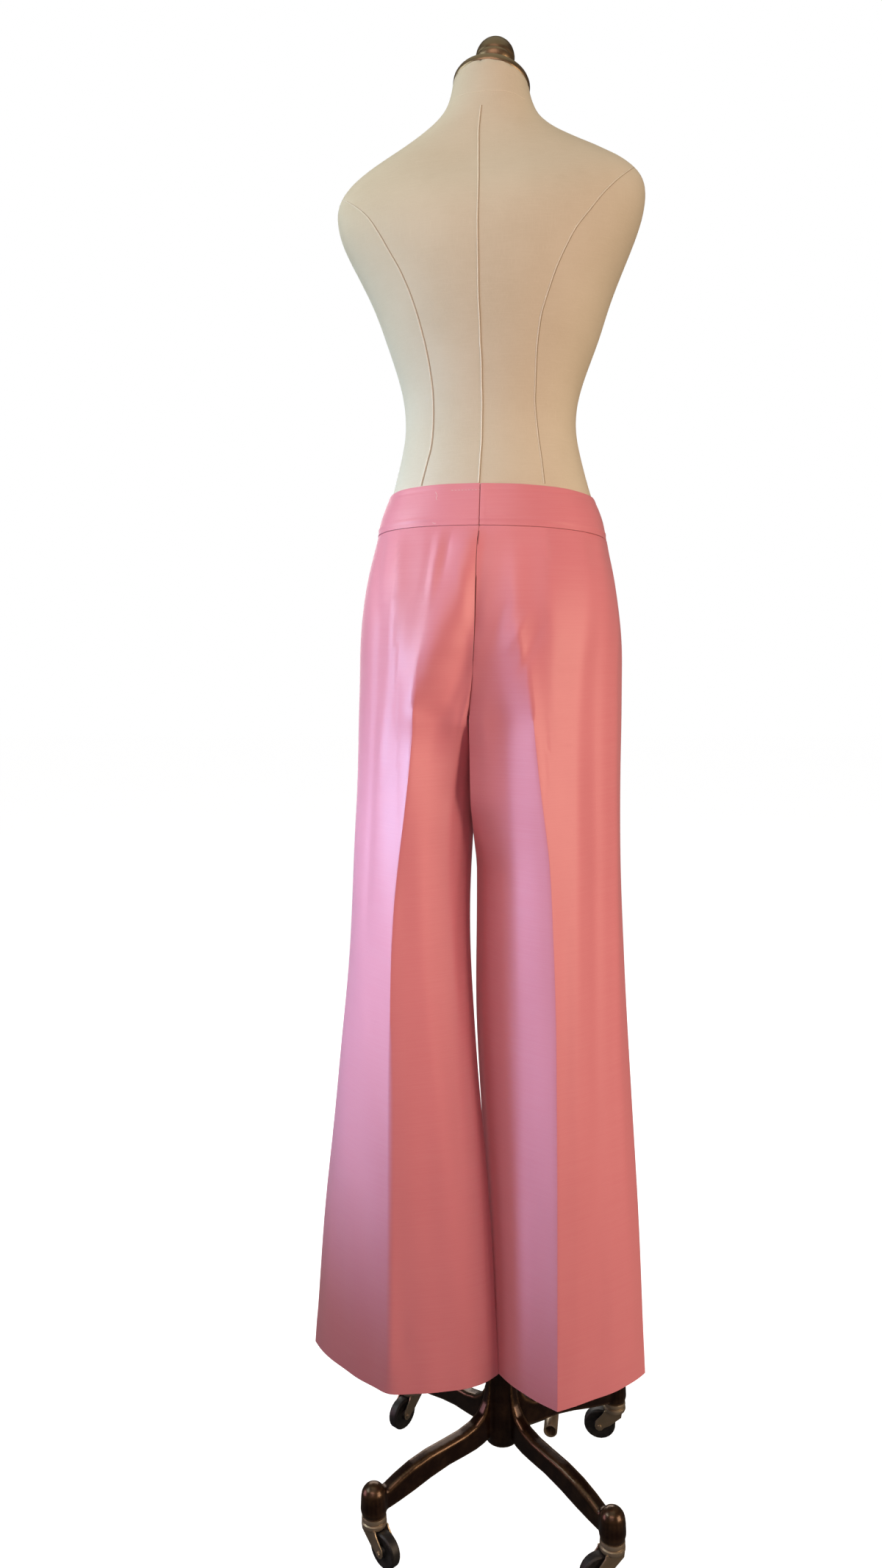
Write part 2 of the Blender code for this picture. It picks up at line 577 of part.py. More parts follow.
def make_base():
    """The hub, four feet and four bosses are one iron casting."""
    bore = POLE_R + RUN
    foot = HUB_FOOT
    profile = ((bore, foot), (0.0215, foot), (0.0235, foot + 0.0020), (0.0246, foot + 0.0120),
               (0.0244, foot + 0.0350), (0.0236, foot + 0.0600), (0.0222, foot + 0.0900),
               (0.0210, foot + 0.1120), (0.0198, HUB_TOP - 0.0015), (0.0180, HUB_TOP),
               (bore, HUB_TOP))
    base = add_object("base_casting", turned(profile, 24), IRON)
    past = 0.01              # the boring tool runs this far out at both ends
    bore_outline = ((0.0, foot - past), (bore, foot - past), (bore, HUB_TOP + past),
                    (0.0, HUB_TOP + past))
    bore_guide = as_guide(add_object("pole_bore", turned(bore_outline, 24), IRON))
    for angle in SPOKES:
        boolean(base, make_foot(angle), "UNION")
        boolean(base, make_boss(angle), "UNION")
    boolean(base, make_lug(), "UNION")
    boolean(base, bore_guide, "DIFFERENCE")
    return base


def make_lug():
    """The ear that carries the pedal's pivot: it grows out of the hub beside the lever."""
    near, far = LEVER_HALF + RUN, LEVER_HALF + RUN + 0.0055
    bm = bmesh.new()
    bmesh.ops.create_cube(bm, size=1.0)
    bmesh.ops.scale(bm, verts=bm.verts, vec=(0.0330, far - near, 0.0200))
    bmesh.ops.translate(bm, verts=bm.verts, vec=(-0.0110, (near + far) / 2, 0.0055))
    return as_guide(add_placed("pedal_lug", bm, IRON, lever_place()))


def side_plate(lateral, thickness):
    """One cheek of a caster's fork, in the plane of the wheel."""
    top, axle = BOSS_FOOT - 0.0130, Vector((TRAIL, WHEEL_R))
    outline = [(-0.0120, top), (-0.0110, top - 0.0080), (0.0060, WHEEL_R + 0.0035)]
    for i in range(5):
        turn = math.radians(195 + 165 * i / 4)
        outline.append((axle.x + 0.0068 * math.cos(turn), axle.y + 0.0068 * math.sin(turn)))
    outline += [(TRAIL + 0.0060, WHEEL_R + 0.0080), (0.0160, top - 0.0040), (0.0150, top)]
    bm = bmesh.new()
    face = bm.faces.new([bm.verts.new((x, lateral, z)) for x, z in outline])
    grown = bmesh.ops.extrude_face_region(bm, geom=[face])
    moved = [item for item in grown["geom"] if isinstance(item, bmesh.types.BMVert)]
    bmesh.ops.translate(bm, verts=moved, vec=(0, thickness, 0))
    return bm


def caster_place(angle, heading):
    foot = math.radians(angle)
    place = Matrix.Translation((LEG_REACH * math.cos(foot), LEG_REACH * math.sin(foot), 0.0))
    return place @ Matrix.Rotation(math.radians(heading), 4, "Z")


def add_placed(name, bm, spec, place):
    bmesh.ops.transform(bm, matrix=place, verts=bm.verts)
    return add_object(name, bm, spec)


def make_caster(name, angle, heading):
    place = caster_place(angle, heading)
    top = BOSS_FOOT - RUN
    swivel = ((0.0, top - 0.0150), (0.0160, top - 0.0150), (0.0172, top - 0.0120),
              (0.0169, top - 0.0085), (0.0150, top - 0.0075), (0.0150, top - 0.0060),
              (0.0169, top - 0.0048), (0.0164, top), (0.0, top))
    fork = add_placed(f"fork_{name}", turned(swivel, 18), BRASS, place)
    cheek, inside = 0.0018, 0.0104
    for tag, lateral in (("a", -inside - cheek), ("b", inside)):
        plate = add_placed(f"cheek_{name}_{tag}", side_plate(lateral, cheek), BRASS, place)
        boolean(fork, as_guide(plate), "UNION")
    length = 2 * (inside + cheek) + 0.0036
    axle_bm = bmesh.new()
    bmesh.ops.create_cone(axle_bm, cap_ends=True, segments=10, radius1=0.0032, radius2=0.0032,
                          depth=length)
    axle_place = place @ Matrix.Translation((TRAIL, 0, WHEEL_R)) @ Matrix.Rotation(math.pi / 2, 4, "X")
    axle = add_placed(f"axle_{name}", axle_bm, BRASS, axle_place)
    boolean(fork, as_guide(axle), "UNION")
    half = WHEEL_W / 2
    hub_half = inside - RUN
    tread = WHEEL_R
    profile = ((0.0037, -hub_half), (0.0070, -hub_half), (0.0078, -half + 0.0015),
               (0.0170, -half + 0.0010), (tread - 0.0020, -half), (tread, -half + 0.0025),
               (tread, half - 0.0025), (tread - 0.0020, half), (0.0170, half - 0.0010),
               (0.0078, half - 0.0015), (0.0070, hub_half), (0.0037, hub_half))
    steps = 24
    wheel_bm = turned([(r if r < tread else tread / math.cos(math.pi / steps), z)
                       for r, z in profile], steps)
    half_step = Matrix.Rotation(math.pi / 2 + math.pi / steps, 4, "Z")
    bmesh.ops.transform(wheel_bm, matrix=half_step, verts=wheel_bm.verts)
    return add_placed(f"wheel_{name}", wheel_bm, RUBBER, axle_place)


def lever_line():
    """The lever's middle line, from its pivot to the tube."""
    return PEDAL_PIVOT, Vector((PEDAL_TUBE_X + 0.004, -0.078, PEDAL_TUBE_Z))


def lever_place():
    """A level frame at the pivot: X runs out along the lever, Y towards the hub."""
    start, end = lever_line()
    turn = math.atan2(start.y - end.y, start.x - end.x)
    return Matrix.Translation(start) @ Matrix.Rotation(turn, 4, "Z") @ Matrix.Scale(-1, 4, (1, 0, 0))


def make_pedal():
    """A foot lever: a flat bar from the hub's pivot to a short open tube to step on."""
    outer, bore = 0.0101, 0.0078
    back_end, front_end = -0.040, -0.105
    bm = turned(((bore, front_end + 0.012), (bore, back_end), (outer, back_end),
                 (outer, front_end), (0.0, front_end), (0.0, front_end + 0.012)), 20)
    place = Matrix.Translation((PEDAL_TUBE_X, 0.0, PEDAL_TUBE_Z)) @ Matrix.Rotation(-math.pi / 2, 4, "X")
    bmesh.ops.transform(bm, matrix=place, verts=bm.verts)
    pedal = add_object("pedal", bm, IRON)
    start, end = lever_line()
    along = end - start
    bar_bm = bmesh.new()
    bmesh.ops.create_cube(bar_bm, size=1.0)
    bmesh.ops.scale(bar_bm, verts=bar_bm.verts, vec=(along.length, 2 * LEVER_HALF, 0.0090))
    turn = Matrix.Translation((start + end) / 2) @ along.to_track_quat("X", "Z").to_matrix().to_4x4()
    bar = add_placed("pedal_bar", bar_bm, IRON, turn)
    boolean(pedal, as_guide(bar), "UNION")
    return pedal


def main():
    clear_scene()
    make_torso()
    make_neck_cap()
    make_trousers()
    make_pole()
    make_base()
    for name, (angle, heading) in CASTERS.items():
        make_caster(name, angle, heading)
    make_pedal()


main()
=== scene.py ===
# %% [markdown]
# # Wide-leg trousers on a dress form
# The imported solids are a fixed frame: they say where everything is and how it moves.
# This lesson dresses them.  Cloth gets a finer copy of its own panel, metal gets the
# rounded edges of a casting, and every surface gets a material made of nodes.

# %% Load the frame
import math

import bmesh
import bpy
import numpy as np
from mathutils import Matrix, Vector
from mathutils.bvhtree import BVHTree


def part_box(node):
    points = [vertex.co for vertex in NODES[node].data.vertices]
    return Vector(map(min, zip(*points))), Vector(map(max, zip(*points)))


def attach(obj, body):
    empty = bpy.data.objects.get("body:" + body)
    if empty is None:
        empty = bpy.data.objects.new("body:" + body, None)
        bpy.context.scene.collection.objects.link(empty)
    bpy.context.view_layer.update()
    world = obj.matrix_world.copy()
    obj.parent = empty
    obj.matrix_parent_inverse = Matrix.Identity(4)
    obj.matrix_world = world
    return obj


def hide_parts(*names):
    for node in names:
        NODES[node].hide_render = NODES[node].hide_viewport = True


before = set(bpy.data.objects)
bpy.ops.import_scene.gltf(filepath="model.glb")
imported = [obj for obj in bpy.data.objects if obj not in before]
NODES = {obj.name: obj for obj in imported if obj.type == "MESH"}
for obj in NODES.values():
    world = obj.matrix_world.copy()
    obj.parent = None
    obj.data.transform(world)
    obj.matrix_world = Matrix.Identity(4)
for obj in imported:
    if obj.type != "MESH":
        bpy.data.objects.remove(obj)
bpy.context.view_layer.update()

# %% [markdown]
# ## Where the pole stands
# All heights and sides below are measured from the pole, because a dress form is turned
# and raised about it.  The pole's node says where it is.

# %% The pole's axis
pole_low, pole_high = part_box("pole")
POLE = Vector(((pole_low.x + pole_high.x) / 2, (pole_low.y + pole_high.y) / 2, 0.0))
print("pole at", round(POLE.x, 4), round(POLE.y, 4))

# %% [markdown]
# ## Camera
# The picture was taken from behind, a little to the wearer's right, with a phone held at
# chest height and tilted down.  A camera is placed here by a matrix, because its roll is
# part of the view: the three columns are right, up and backwards.

# %% Camera
IMAGE = (1200, 2133)
FOCAL_PX = 1602.0                # focal length, in pixels of the picture
SENSOR = 36.0                    # mm along the picture's long side
CAMERA_SPOT = POLE + Vector((-0.167, 1.543, 1.236))
HEADING = (0.155, -0.988)        # which way the camera looks across the floor
PITCH = math.radians(7.5)
ROLL = math.radians(-0.82)

forward = Vector((HEADING[0] * math.cos(PITCH), HEADING[1] * math.cos(PITCH), -math.sin(PITCH)))
forward.normalize()
level_right = forward.cross(Vector((0, 0, 1))).normalized()
level_up = level_right.cross(forward)
view_right = level_right * math.cos(ROLL) + level_up * math.sin(ROLL)
view_up = level_up * math.cos(ROLL) - level_right * math.sin(ROLL)

camera_data = bpy.data.cameras.new("camera")
camera_data.sensor_width = SENSOR
camera_data.lens = SENSOR * FOCAL_PX / IMAGE[1]
camera_data.clip_start = 0.05
camera = bpy.data.objects.new("camera", camera_data)
bpy.context.scene.collection.objects.link(camera)
turn = Matrix((view_right, view_up, -forward)).transposed().to_4x4()
camera.matrix_world = Matrix.Translation(CAMERA_SPOT) @ turn
bpy.context.scene.camera = camera
print("lens", round(camera_data.lens, 2), "mm")


def sight_line(px, py):
    """The direction in which a pixel of the 1200 x 2133 picture looks."""
    across, down = (px - IMAGE[0] / 2) / FOCAL_PX, (py - IMAGE[1] / 2) / FOCAL_PX
    return (forward + view_right * across - view_up * down).normalized()


# %% [markdown]
# ## Light
# A tall window stands at the left of the picture and sends cool, faintly violet light.
# The room on the right is lit by warm lamps.  That is why the two faces of each pressed
# leg have different colours although the cloth is one pink.  Soft area lamps do the same
# here.  Two spot lamps narrow the window's light: it ends on a slant low on the leg, and
# the hems below the sill stay dark.  One low lamp only shows as gloss: it is the pale
# ground outside, which the satin face mirrors but which is too far away to light the room.
# A lamp's place and the point that it looks at are measured from the pole.

# %% World and lamps
def place_lamp(name, data, spot, aim, power, colour):
    """Link a lamp so that it looks at a point."""
    data.energy = power
    data.color = colour
    lamp = bpy.data.objects.new(name, data)
    bpy.context.scene.collection.objects.link(lamp)
    lamp.location = POLE + Vector(spot)
    way = (POLE + Vector(aim)) - lamp.location
    lamp.rotation_euler = way.to_track_quat("-Z", "Y").to_euler()
    return lamp


def add_lamp(name, spot, aim, size, power, colour, spread=180):
    """A soft rectangular lamp.  A spread under 180 degrees sends its light ahead."""
    data = bpy.data.lights.new(name, "AREA")
    data.shape = "RECTANGLE"
    data.size, data.size_y = size
    data.spread = math.radians(spread)
    return place_lamp(name, data, spot, aim, power, colour)


def add_beam(name, spot, aim, cone, blend, softness, power, colour):
    """A spot lamp: its cone in degrees, how soft the cone's edge is, and the lamp's radius."""
    data = bpy.data.lights.new(name, "SPOT")
    data.spot_size = math.radians(cone)
    data.spot_blend = blend
    data.shadow_soft_size = softness
    return place_lamp(name, data, spot, aim, power, colour)


add_lamp("window_top", (2.0, 0.60, 2.0), (0.05, 0.0, 1.35), (1.4, 1.0), 9.6, (0.83, 0.98, 1.0), spread=100)
add_beam("window_beam", (2.2, 0.5, 1.25), (0.15, 0.05, 1.05), 30.4, 0.20, 0.25, 126.0, (0.40, 0.64, 1.0))
add_beam("low_beam", (2.2, 0.5, 1.1), (0.15, 0.20, 0.77), 22, 0.30, 0.12, 124.0, (0.28, 0.62, 1.0))
ground = add_lamp("pale_ground", (2.2, 0.35, 0.45), (0.1, 0.0, 0.7), (1.0, 0.8), 11.0, (1.0, 0.58, 0.70))
ground.visible_diffuse = False
add_lamp("room_lamp", (-2.25, 0.95, 0.95), (0.0, 0.0, 0.88), (1.2, 1.2), 19.0, (1.0, 0.74, 0.52), spread=120)
add_lamp("over_camera", (0.2, 2.2, 2.2), (0.0, 0.0, 1.0), (1.6, 1.2), 25.0, (1.0, 0.70, 0.64))
add_lamp("ceiling", (0.0, 0.3, 3.3), (0.0, 0.0, 1.2), (2.4, 2.4), 12.0, (0.92, 1.0, 0.80))
add_lamp("front_fill", (0.6, -2.4, 1.6), (0.0, 0.0, 1.0), (2.0, 2.0), 34.0, (1.0, 0.93, 0.88))

ROOM_GLOW = 0.06         # what the room adds from all sides
PAPER_WHITE = 1.0        # what the camera sees behind the stand
world = bpy.data.worlds.new("studio")
bpy.context.scene.world = world
world.use_nodes = True
sky_nodes, sky_links = world.node_tree.nodes, world.node_tree.links
sky_nodes.clear()
sky_out = sky_nodes.new("ShaderNodeOutputWorld")
sky_mix = sky_nodes.new("ShaderNodeMixShader")
sky_path = sky_nodes.new("ShaderNodeLightPath")
glow = sky_nodes.new("ShaderNodeBackground")
glow.inputs["Color"].default_value = (1.0, 0.96, 0.95, 1.0)
glow.inputs["Strength"].default_value = ROOM_GLOW
paper = sky_nodes.new("ShaderNodeBackground")
paper.inputs["Strength"].default_value = PAPER_WHITE
paper.inputs["Color"].default_value = (1.0, 1.0, 1.0, 1.0)
sky_links.new(sky_path.outputs["Is Camera Ray"], sky_mix.inputs["Fac"])
sky_links.new(glow.outputs["Background"], sky_mix.inputs[1])
sky_links.new(paper.outputs["Background"], sky_mix.inputs[2])
sky_links.new(sky_mix.outputs["Shader"], sky_out.inputs["Surface"])
bpy.context.scene.view_settings.view_transform = "Standard"
print("lamps:", len(bpy.data.lights))

# %% [markdown]
# ## Materials from nodes
# Every finish below is a Principled shader with a few textures in front of it.  The
# textures read Object coordinates, which are metres here, so a scale of 1000 repeats
# once per millimetre.  One small helper adds a node and sets its sockets.

# %% Node helpers
def new_material(name, roughness, metallic=0.0):
    """A material with its Principled shader and an Object coordinate node."""
    made = bpy.data.materials.new(name)
    made.use_nodes = True
    tree = made.node_tree
    shader = tree.nodes["Principled BSDF"]
    shader.inputs["Roughness"].default_value = roughness
    shader.inputs["Metallic"].default_value = metallic
    place = tree.nodes.new("ShaderNodeTexCoord")
    return made, tree, shader, place.outputs["Object"]


def add_node(tree, kind, sockets=None, **settings):
    """Add a node, set its options, then its sockets: a value is set, a socket is linked."""
    node = tree.nodes.new(kind)
    for key, value in settings.items():
        setattr(node, key, value)
    for key, value in (sockets or {}).items():
        if isinstance(value, bpy.types.NodeSocket):
            tree.links.new(value, node.inputs[key])
        else:
            node.inputs[key].default_value = value
    return node


def stretched(tree, coordinates, scale, angle=0.0):
    """Coordinates stretched to a pattern's own pitch, and turned about Z."""
    node = add_node(tree, "ShaderNodeMapping", {"Vector": coordinates, "Scale": scale,
                                                "Rotation": (0.0, 0.0, angle)})
    return node.outputs["Vector"]


def noise(tree, coordinates, scale, detail=3.0):
    """Cloudy noise from 0 to 1."""
    node = add_node(tree, "ShaderNodeTexNoise", {"Vector": coordinates, "Scale": scale,
                                                 "Detail": detail, "Roughness": 0.55})
    return node.outputs["Fac"]


def ramp(tree, factor, stops):
    """A colour ramp: stops are (position, colour)."""
    node = add_node(tree, "ShaderNodeValToRGB", {"Fac": factor})
    elements = node.color_ramp.elements
    while len(elements) < len(stops):
        elements.new(0.5)
    for element, (position, colour) in zip(elements, stops):
        element.position = position
        element.color = (*colour, 1.0)
    return node.outputs["Color"]


def spread(tree, factor, low, high, low_to, high_to):
    """Carry the range from low to high over to the range from low_to to high_to."""
    node = add_node(tree, "ShaderNodeMapRange", {"Value": factor, "From Min": low, "From Max": high,
                                                 "To Min": low_to, "To Max": high_to})
    return node.outputs["Result"]


def mixed(tree, factor, first, second):
    """Two colours mixed; each is a value or a socket."""
    node = add_node(tree, "ShaderNodeMix", {"Factor": factor}, data_type="RGBA")
    for socket, value in ((node.inputs[6], first), (node.inputs[7], second)):
        if isinstance(value, bpy.types.NodeSocket):
            tree.links.new(value, socket)
        else:
            socket.default_value = (*value, 1.0)
    return node.outputs[2]


def add_values(tree, first, second, operation="ADD"):
    """Two values joined by a sum or another operation."""
    node = add_node(tree, "ShaderNodeMath", operation=operation)
    for socket, value in zip(node.inputs, (first, second)):
        if isinstance(value, bpy.types.NodeSocket):
            tree.links.new(value, socket)
        else:
            socket.default_value = value
    return node.outputs["Value"]


def raise_surface(tree, shader, height, distance, strength=1.0):
    """Bump: the height is 0 to 1 and the distance is its depth in metres."""
    bump = add_node(tree, "ShaderNodeBump", {"Height": height, "Distance": distance,
                                             "Strength": strength})
    tree.links.new(bump.outputs["Normal"], shader.inputs["Normal"])


# %% [markdown]
# ## The trouser cloth
# The cloth is a smooth wool-and-silk suiting, woven as a fine twill and pressed.  Threads
# are far finer than a pixel at this distance, so what shows is its soft satin sheen, faint
# cross-wise slubs and a slight change of depth of colour.  Each panel carries a UV map
# that runs along the cloth, so that the twill turns with the folds.

# %% Material: pink suiting
def make_suiting():
    """Smooth pink suiting with slubs, a fine twill and a satin sheen."""
    made, tree, shader, _ = new_material("pink_suiting", 0.44)
    grain = add_node(tree, "ShaderNodeUVMap", uv_map="cloth").outputs["UV"]
    slubs = noise(tree, stretched(tree, grain, (14.0, 620.0, 1.0)), 1.0, 2.0)
    shade = noise(tree, stretched(tree, grain, (7.0, 2.2, 1.0)), 1.0, 3.0)
    base = ramp(tree, shade, ((0.30, (0.725, 0.232, 0.282)), (0.70, (0.790, 0.265, 0.316))))
    thread = spread(tree, slubs, 0.35, 0.65, 0.0, 0.10)
    colour = mixed(tree, thread, base, (0.86, 0.42, 0.46))
    tree.links.new(colour, shader.inputs["Base Color"])
    twill = add_node(tree, "ShaderNodeTexWave", {"Vector": stretched(tree, grain, (1.0, 1.0, 1.0), 0.9),
                                                 "Scale": 420.0, "Distortion": 0.6},
                     wave_type="BANDS", bands_direction="X").outputs["Fac"]
    height = add_values(tree, add_values(tree, twill, 0.4, "MULTIPLY"), slubs)
    raise_surface(tree, shader, height, 0.00012, 0.5)
    tree.links.new(spread(tree, slubs, 0.3, 0.7, 0.40, 0.48), shader.inputs["Roughness"])
    shader.inputs["Specular IOR Level"].default_value = 0.42
    shader.inputs["Sheen Weight"].default_value = 0.35
    shader.inputs["Sheen Roughness"].default_value = 0.35
    shader.inputs["Sheen Tint"].default_value = (1.0, 0.82, 0.92, 1.0)
    return made


def make_cord_finish(name, colour):
    """A cord's colour with darker ply marks: for sewing thread, the seam cords of painted shade and the
    welts of painted highlight.
    """
    made, tree, shader, place = new_material(name, 0.6)
    ply = noise(tree, stretched(tree, place, (2600.0, 2600.0, 900.0)), 1.0, 2.0)
    darker = tuple(c * 0.8 for c in colour)
    tree.links.new(ramp(tree, ply, ((0.35, darker), (0.65, colour))), shader.inputs["Base Color"])
    shader.inputs["Sheen Weight"].default_value = 0.3
    return made


SUITING = make_suiting()
PINK_THREAD = make_cord_finish("pink_thread", (0.92, 0.58, 0.62))
# The seam cord's dark colour is painted shade: the shade inside the seam gaps.
SEAM_SHADE_CORD = make_cord_finish("seam_shade_cord", (0.30, 0.045, 0.055))
print("made", SUITING.name, PINK_THREAD.name, SEAM_SHADE_CORD.name)

# %% [markdown]
# ## The form's linen
# A dress form is a moulded shell that is covered with unbleached linen, cut in panels.
# A plain weave is two sets of threads, so the height here is the larger of two waves, one
# up and one across, each made uneven by noise.

# %% Material: linen
def make_linen():
    """Unbleached linen in a plain weave."""
    made, tree, shader, place = new_material("unbleached_linen", 0.82)
    warp = noise(tree, stretched(tree, place, (1500.0, 1500.0, 60.0)), 1.0, 2.0)
    weft = noise(tree, stretched(tree, place, (60.0, 60.0, 1500.0)), 1.0, 2.0)
    weave = add_values(tree, warp, weft, "MAXIMUM")
    cloud = noise(tree, place, 9.0, 4.0)
    base = ramp(tree, cloud, ((0.30, (0.625, 0.560, 0.425)), (0.70, (0.690, 0.630, 0.495))))
    colour = mixed(tree, spread(tree, weave, 0.45, 0.75, 0.0, 0.35), base, (0.76, 0.70, 0.57))
    tree.links.new(colour, shader.inputs["Base Color"])
    raise_surface(tree, shader, weave, 0.00030, 0.45)
    shader.inputs["Sheen Weight"].default_value = 0.15
    shader.inputs["Specular IOR Level"].default_value = 0.25
    return made


LINEN = make_linen()
# The welts' colour is paler than the linen: a painted highlight along the raised seams.
LINEN_WELT_HIGHLIGHT = make_cord_finish("linen_welt_highlight", (0.90, 0.83, 0.68))
# Painted shade: a darker linen colour for the cord in each seam's ditch.
LINEN_DITCH_SHADE = make_cord_finish("linen_ditch_shade", (0.40, 0.32, 0.21))

# %% [markdown]
# ## Metals and the wheels
# The base is cast iron under a dark bronze lacquer that has rubbed thin on its edges.  The
# edges' golden colour is partly that wear and partly a painted highlight.  Pointiness is high on
# convex edges: it drives this edge colour.
# The cap is antiqued bronze, and the pedal and the casters' forks are antiqued brass.

# %% Materials: metals and wheel
def make_metal(name, dark, bright, roughness, metallic, edge_wear_and_glint=(0.52, 0.60), grain=0.00007):
    """Lacquered or antiqued metal: dark, with a bright edge colour that is partly rubbed wear and partly
    painted highlight.
    """
    made, tree, shader, place = new_material(name, roughness, metallic)
    mottle = noise(tree, place, 60.0, 5.0)
    edge = add_node(tree, "ShaderNodeNewGeometry").outputs["Pointiness"]
    # Convex edges get the bright colour: partly wear, partly a painted highlight.
    edge_wear_and_highlight = add_values(tree, spread(tree, edge, edge_wear_and_glint[0], edge_wear_and_glint[1], 0.0, 0.8),
                        spread(tree, mottle, 0.45, 0.75, 0.0, 0.10))
    tree.links.new(mixed(tree, edge_wear_and_highlight, dark, bright), shader.inputs["Base Color"])
    tree.links.new(spread(tree, mottle, 0.3, 0.7, roughness - 0.06, roughness + 0.08),
                   shader.inputs["Roughness"])
    raise_surface(tree, shader, noise(tree, place, 350.0, 3.0), grain, 0.6)
    return made


IRON = make_metal("bronzed_iron", (0.024, 0.010, 0.006), (0.34, 0.21, 0.10), 0.30, 0.65, edge_wear_and_glint=(0.505, 0.56))
lacquer = IRON.node_tree.nodes["Principled BSDF"].inputs
lacquer["Coat Weight"].default_value = 0.30
lacquer["Coat Tint"].default_value = (1.0, 0.78, 0.52, 1.0)
lacquer["Coat Roughness"].default_value = 0.25
BRASS = make_metal("antique_brass", (0.40, 0.32, 0.22), (0.74, 0.64, 0.50), 0.36, 0.80)
BRONZE = make_metal("cap_bronze", (0.175, 0.120, 0.066), (0.50, 0.38, 0.24), 0.38, 0.75)
STEEL = make_metal("pole_steel", (0.16, 0.14, 0.13), (0.45, 0.43, 0.40), 0.30, 1.0, grain=0.00005)


def make_wheel_rubber():
    """Black moulded rubber with a little dust."""
    made, tree, shader, place = new_material("wheel_rubber", 0.5)
    dust = noise(tree, place, 120.0, 4.0)
    tree.links.new(ramp(tree, dust, ((0.4, (0.006, 0.006, 0.006)), (0.75, (0.030, 0.028, 0.026)))),
                   shader.inputs["Base Color"])
    raise_surface(tree, shader, noise(tree, place, 900.0, 2.0), 0.00008, 0.5)
    return made


WHEEL = make_wheel_rubber()
print("materials:", len(bpy.data.materials))

# %% [markdown]
# ## Turning a solid into fine cloth
# A packed panel is a wall of loose triangles with the right form but large facets.  A copy
# of it is merged, its triangles are joined into quads, and its rim gets a narrow bevel,
# which is the rolled edge of turned-in cloth.  Edges that lie on the pressed crease are
# marked, so the subdivision that follows rounds everything else but keeps the fold.

# %% Helpers: copies and meshes
def link_mesh(name, mesh, material, body):
    """Make a finished piece: link it, dress it, and let it ride on its body."""
    mesh.materials.clear()
    mesh.materials.append(material)
    piece = bpy.data.objects.new(name, mesh)
    bpy.context.scene.collection.objects.link(piece)
    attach(piece, body)
    return piece


CRISP_ANGLE = math.radians(40)   # a corner that bends more than this stays crisp


def finish_bmesh(bm, name, material, body):
    """Turn a bmesh into a piece whose flat-to-curved corners stay crisp."""
    bmesh.ops.recalc_face_normals(bm, faces=bm.faces)
    mesh = bpy.data.meshes.new(name)
    bm.to_mesh(mesh)
    bm.free()
    mesh.shade_smooth()
    mesh.set_sharp_from_angle(angle=CRISP_ANGLE)
    return link_mesh(name, mesh, material, body)


MERGE_WITHIN = 1e-5              # corners closer than this become one
QUAD_BEND = math.radians(40)     # two triangles that bend more stay apart
QUAD_SKEW = math.radians(60)     # and so do two whose quad would be more askew


def merged_copy(node):
    """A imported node's shape as a clean bmesh of mostly quads."""
    bm = bmesh.new()
    bm.from_mesh(NODES[node].data)
    bmesh.ops.remove_doubles(bm, verts=bm.verts, dist=MERGE_WITHIN)
    bmesh.ops.join_triangles(bm, faces=bm.faces, angle_face_threshold=QUAD_BEND,
                             angle_shape_threshold=QUAD_SKEW, cmp_seam=False,
                             cmp_sharp=False, cmp_uvs=False, cmp_vcols=False, cmp_materials=False)
    return bm


def rough_mesh(bm, name):
    """A bmesh as a mesh that modifiers will finish."""
    mesh = bpy.data.meshes.new(name + "_rough")
    bm.to_mesh(mesh)
    bm.free()
    return mesh


def finished_mesh(data, name, modifiers=()):
    """Run (kind, settings) modifiers on a mesh or a curve and return the mesh they make."""
    helper = bpy.data.objects.new(name + "_helper", data)
    bpy.context.scene.collection.objects.link(helper)
    for kind, settings in modifiers:
        modifier = helper.modifiers.new(kind, kind)
        for key, value in settings.items():
            setattr(modifier, key, value)
    view = bpy.context.evaluated_depsgraph_get()
    result = bpy.data.meshes.new_from_object(helper.evaluated_get(view))
    result.name = name
    bpy.data.objects.remove(helper, do_unlink=True)
    return result


def subdivided(bm, name, levels):
    """A bmesh rounded by a Subdivision Surface."""
    return finished_mesh(rough_mesh(bm, name), name,
                         [("SUBSURF", {"levels": levels, "render_levels": levels})])


def mark_creases(bm, keep):
    """Give each edge the sharpness that keep(edge) returns, from 0 to 1."""
    layer = bm.edges.layers.float.get("crease_edge") or bm.edges.layers.float.new("crease_edge")
    marked = 0
    for edge in bm.edges:
        edge[layer] = keep(edge)
        marked += edge[layer] > 0
    return marked


print("copy helpers ready")
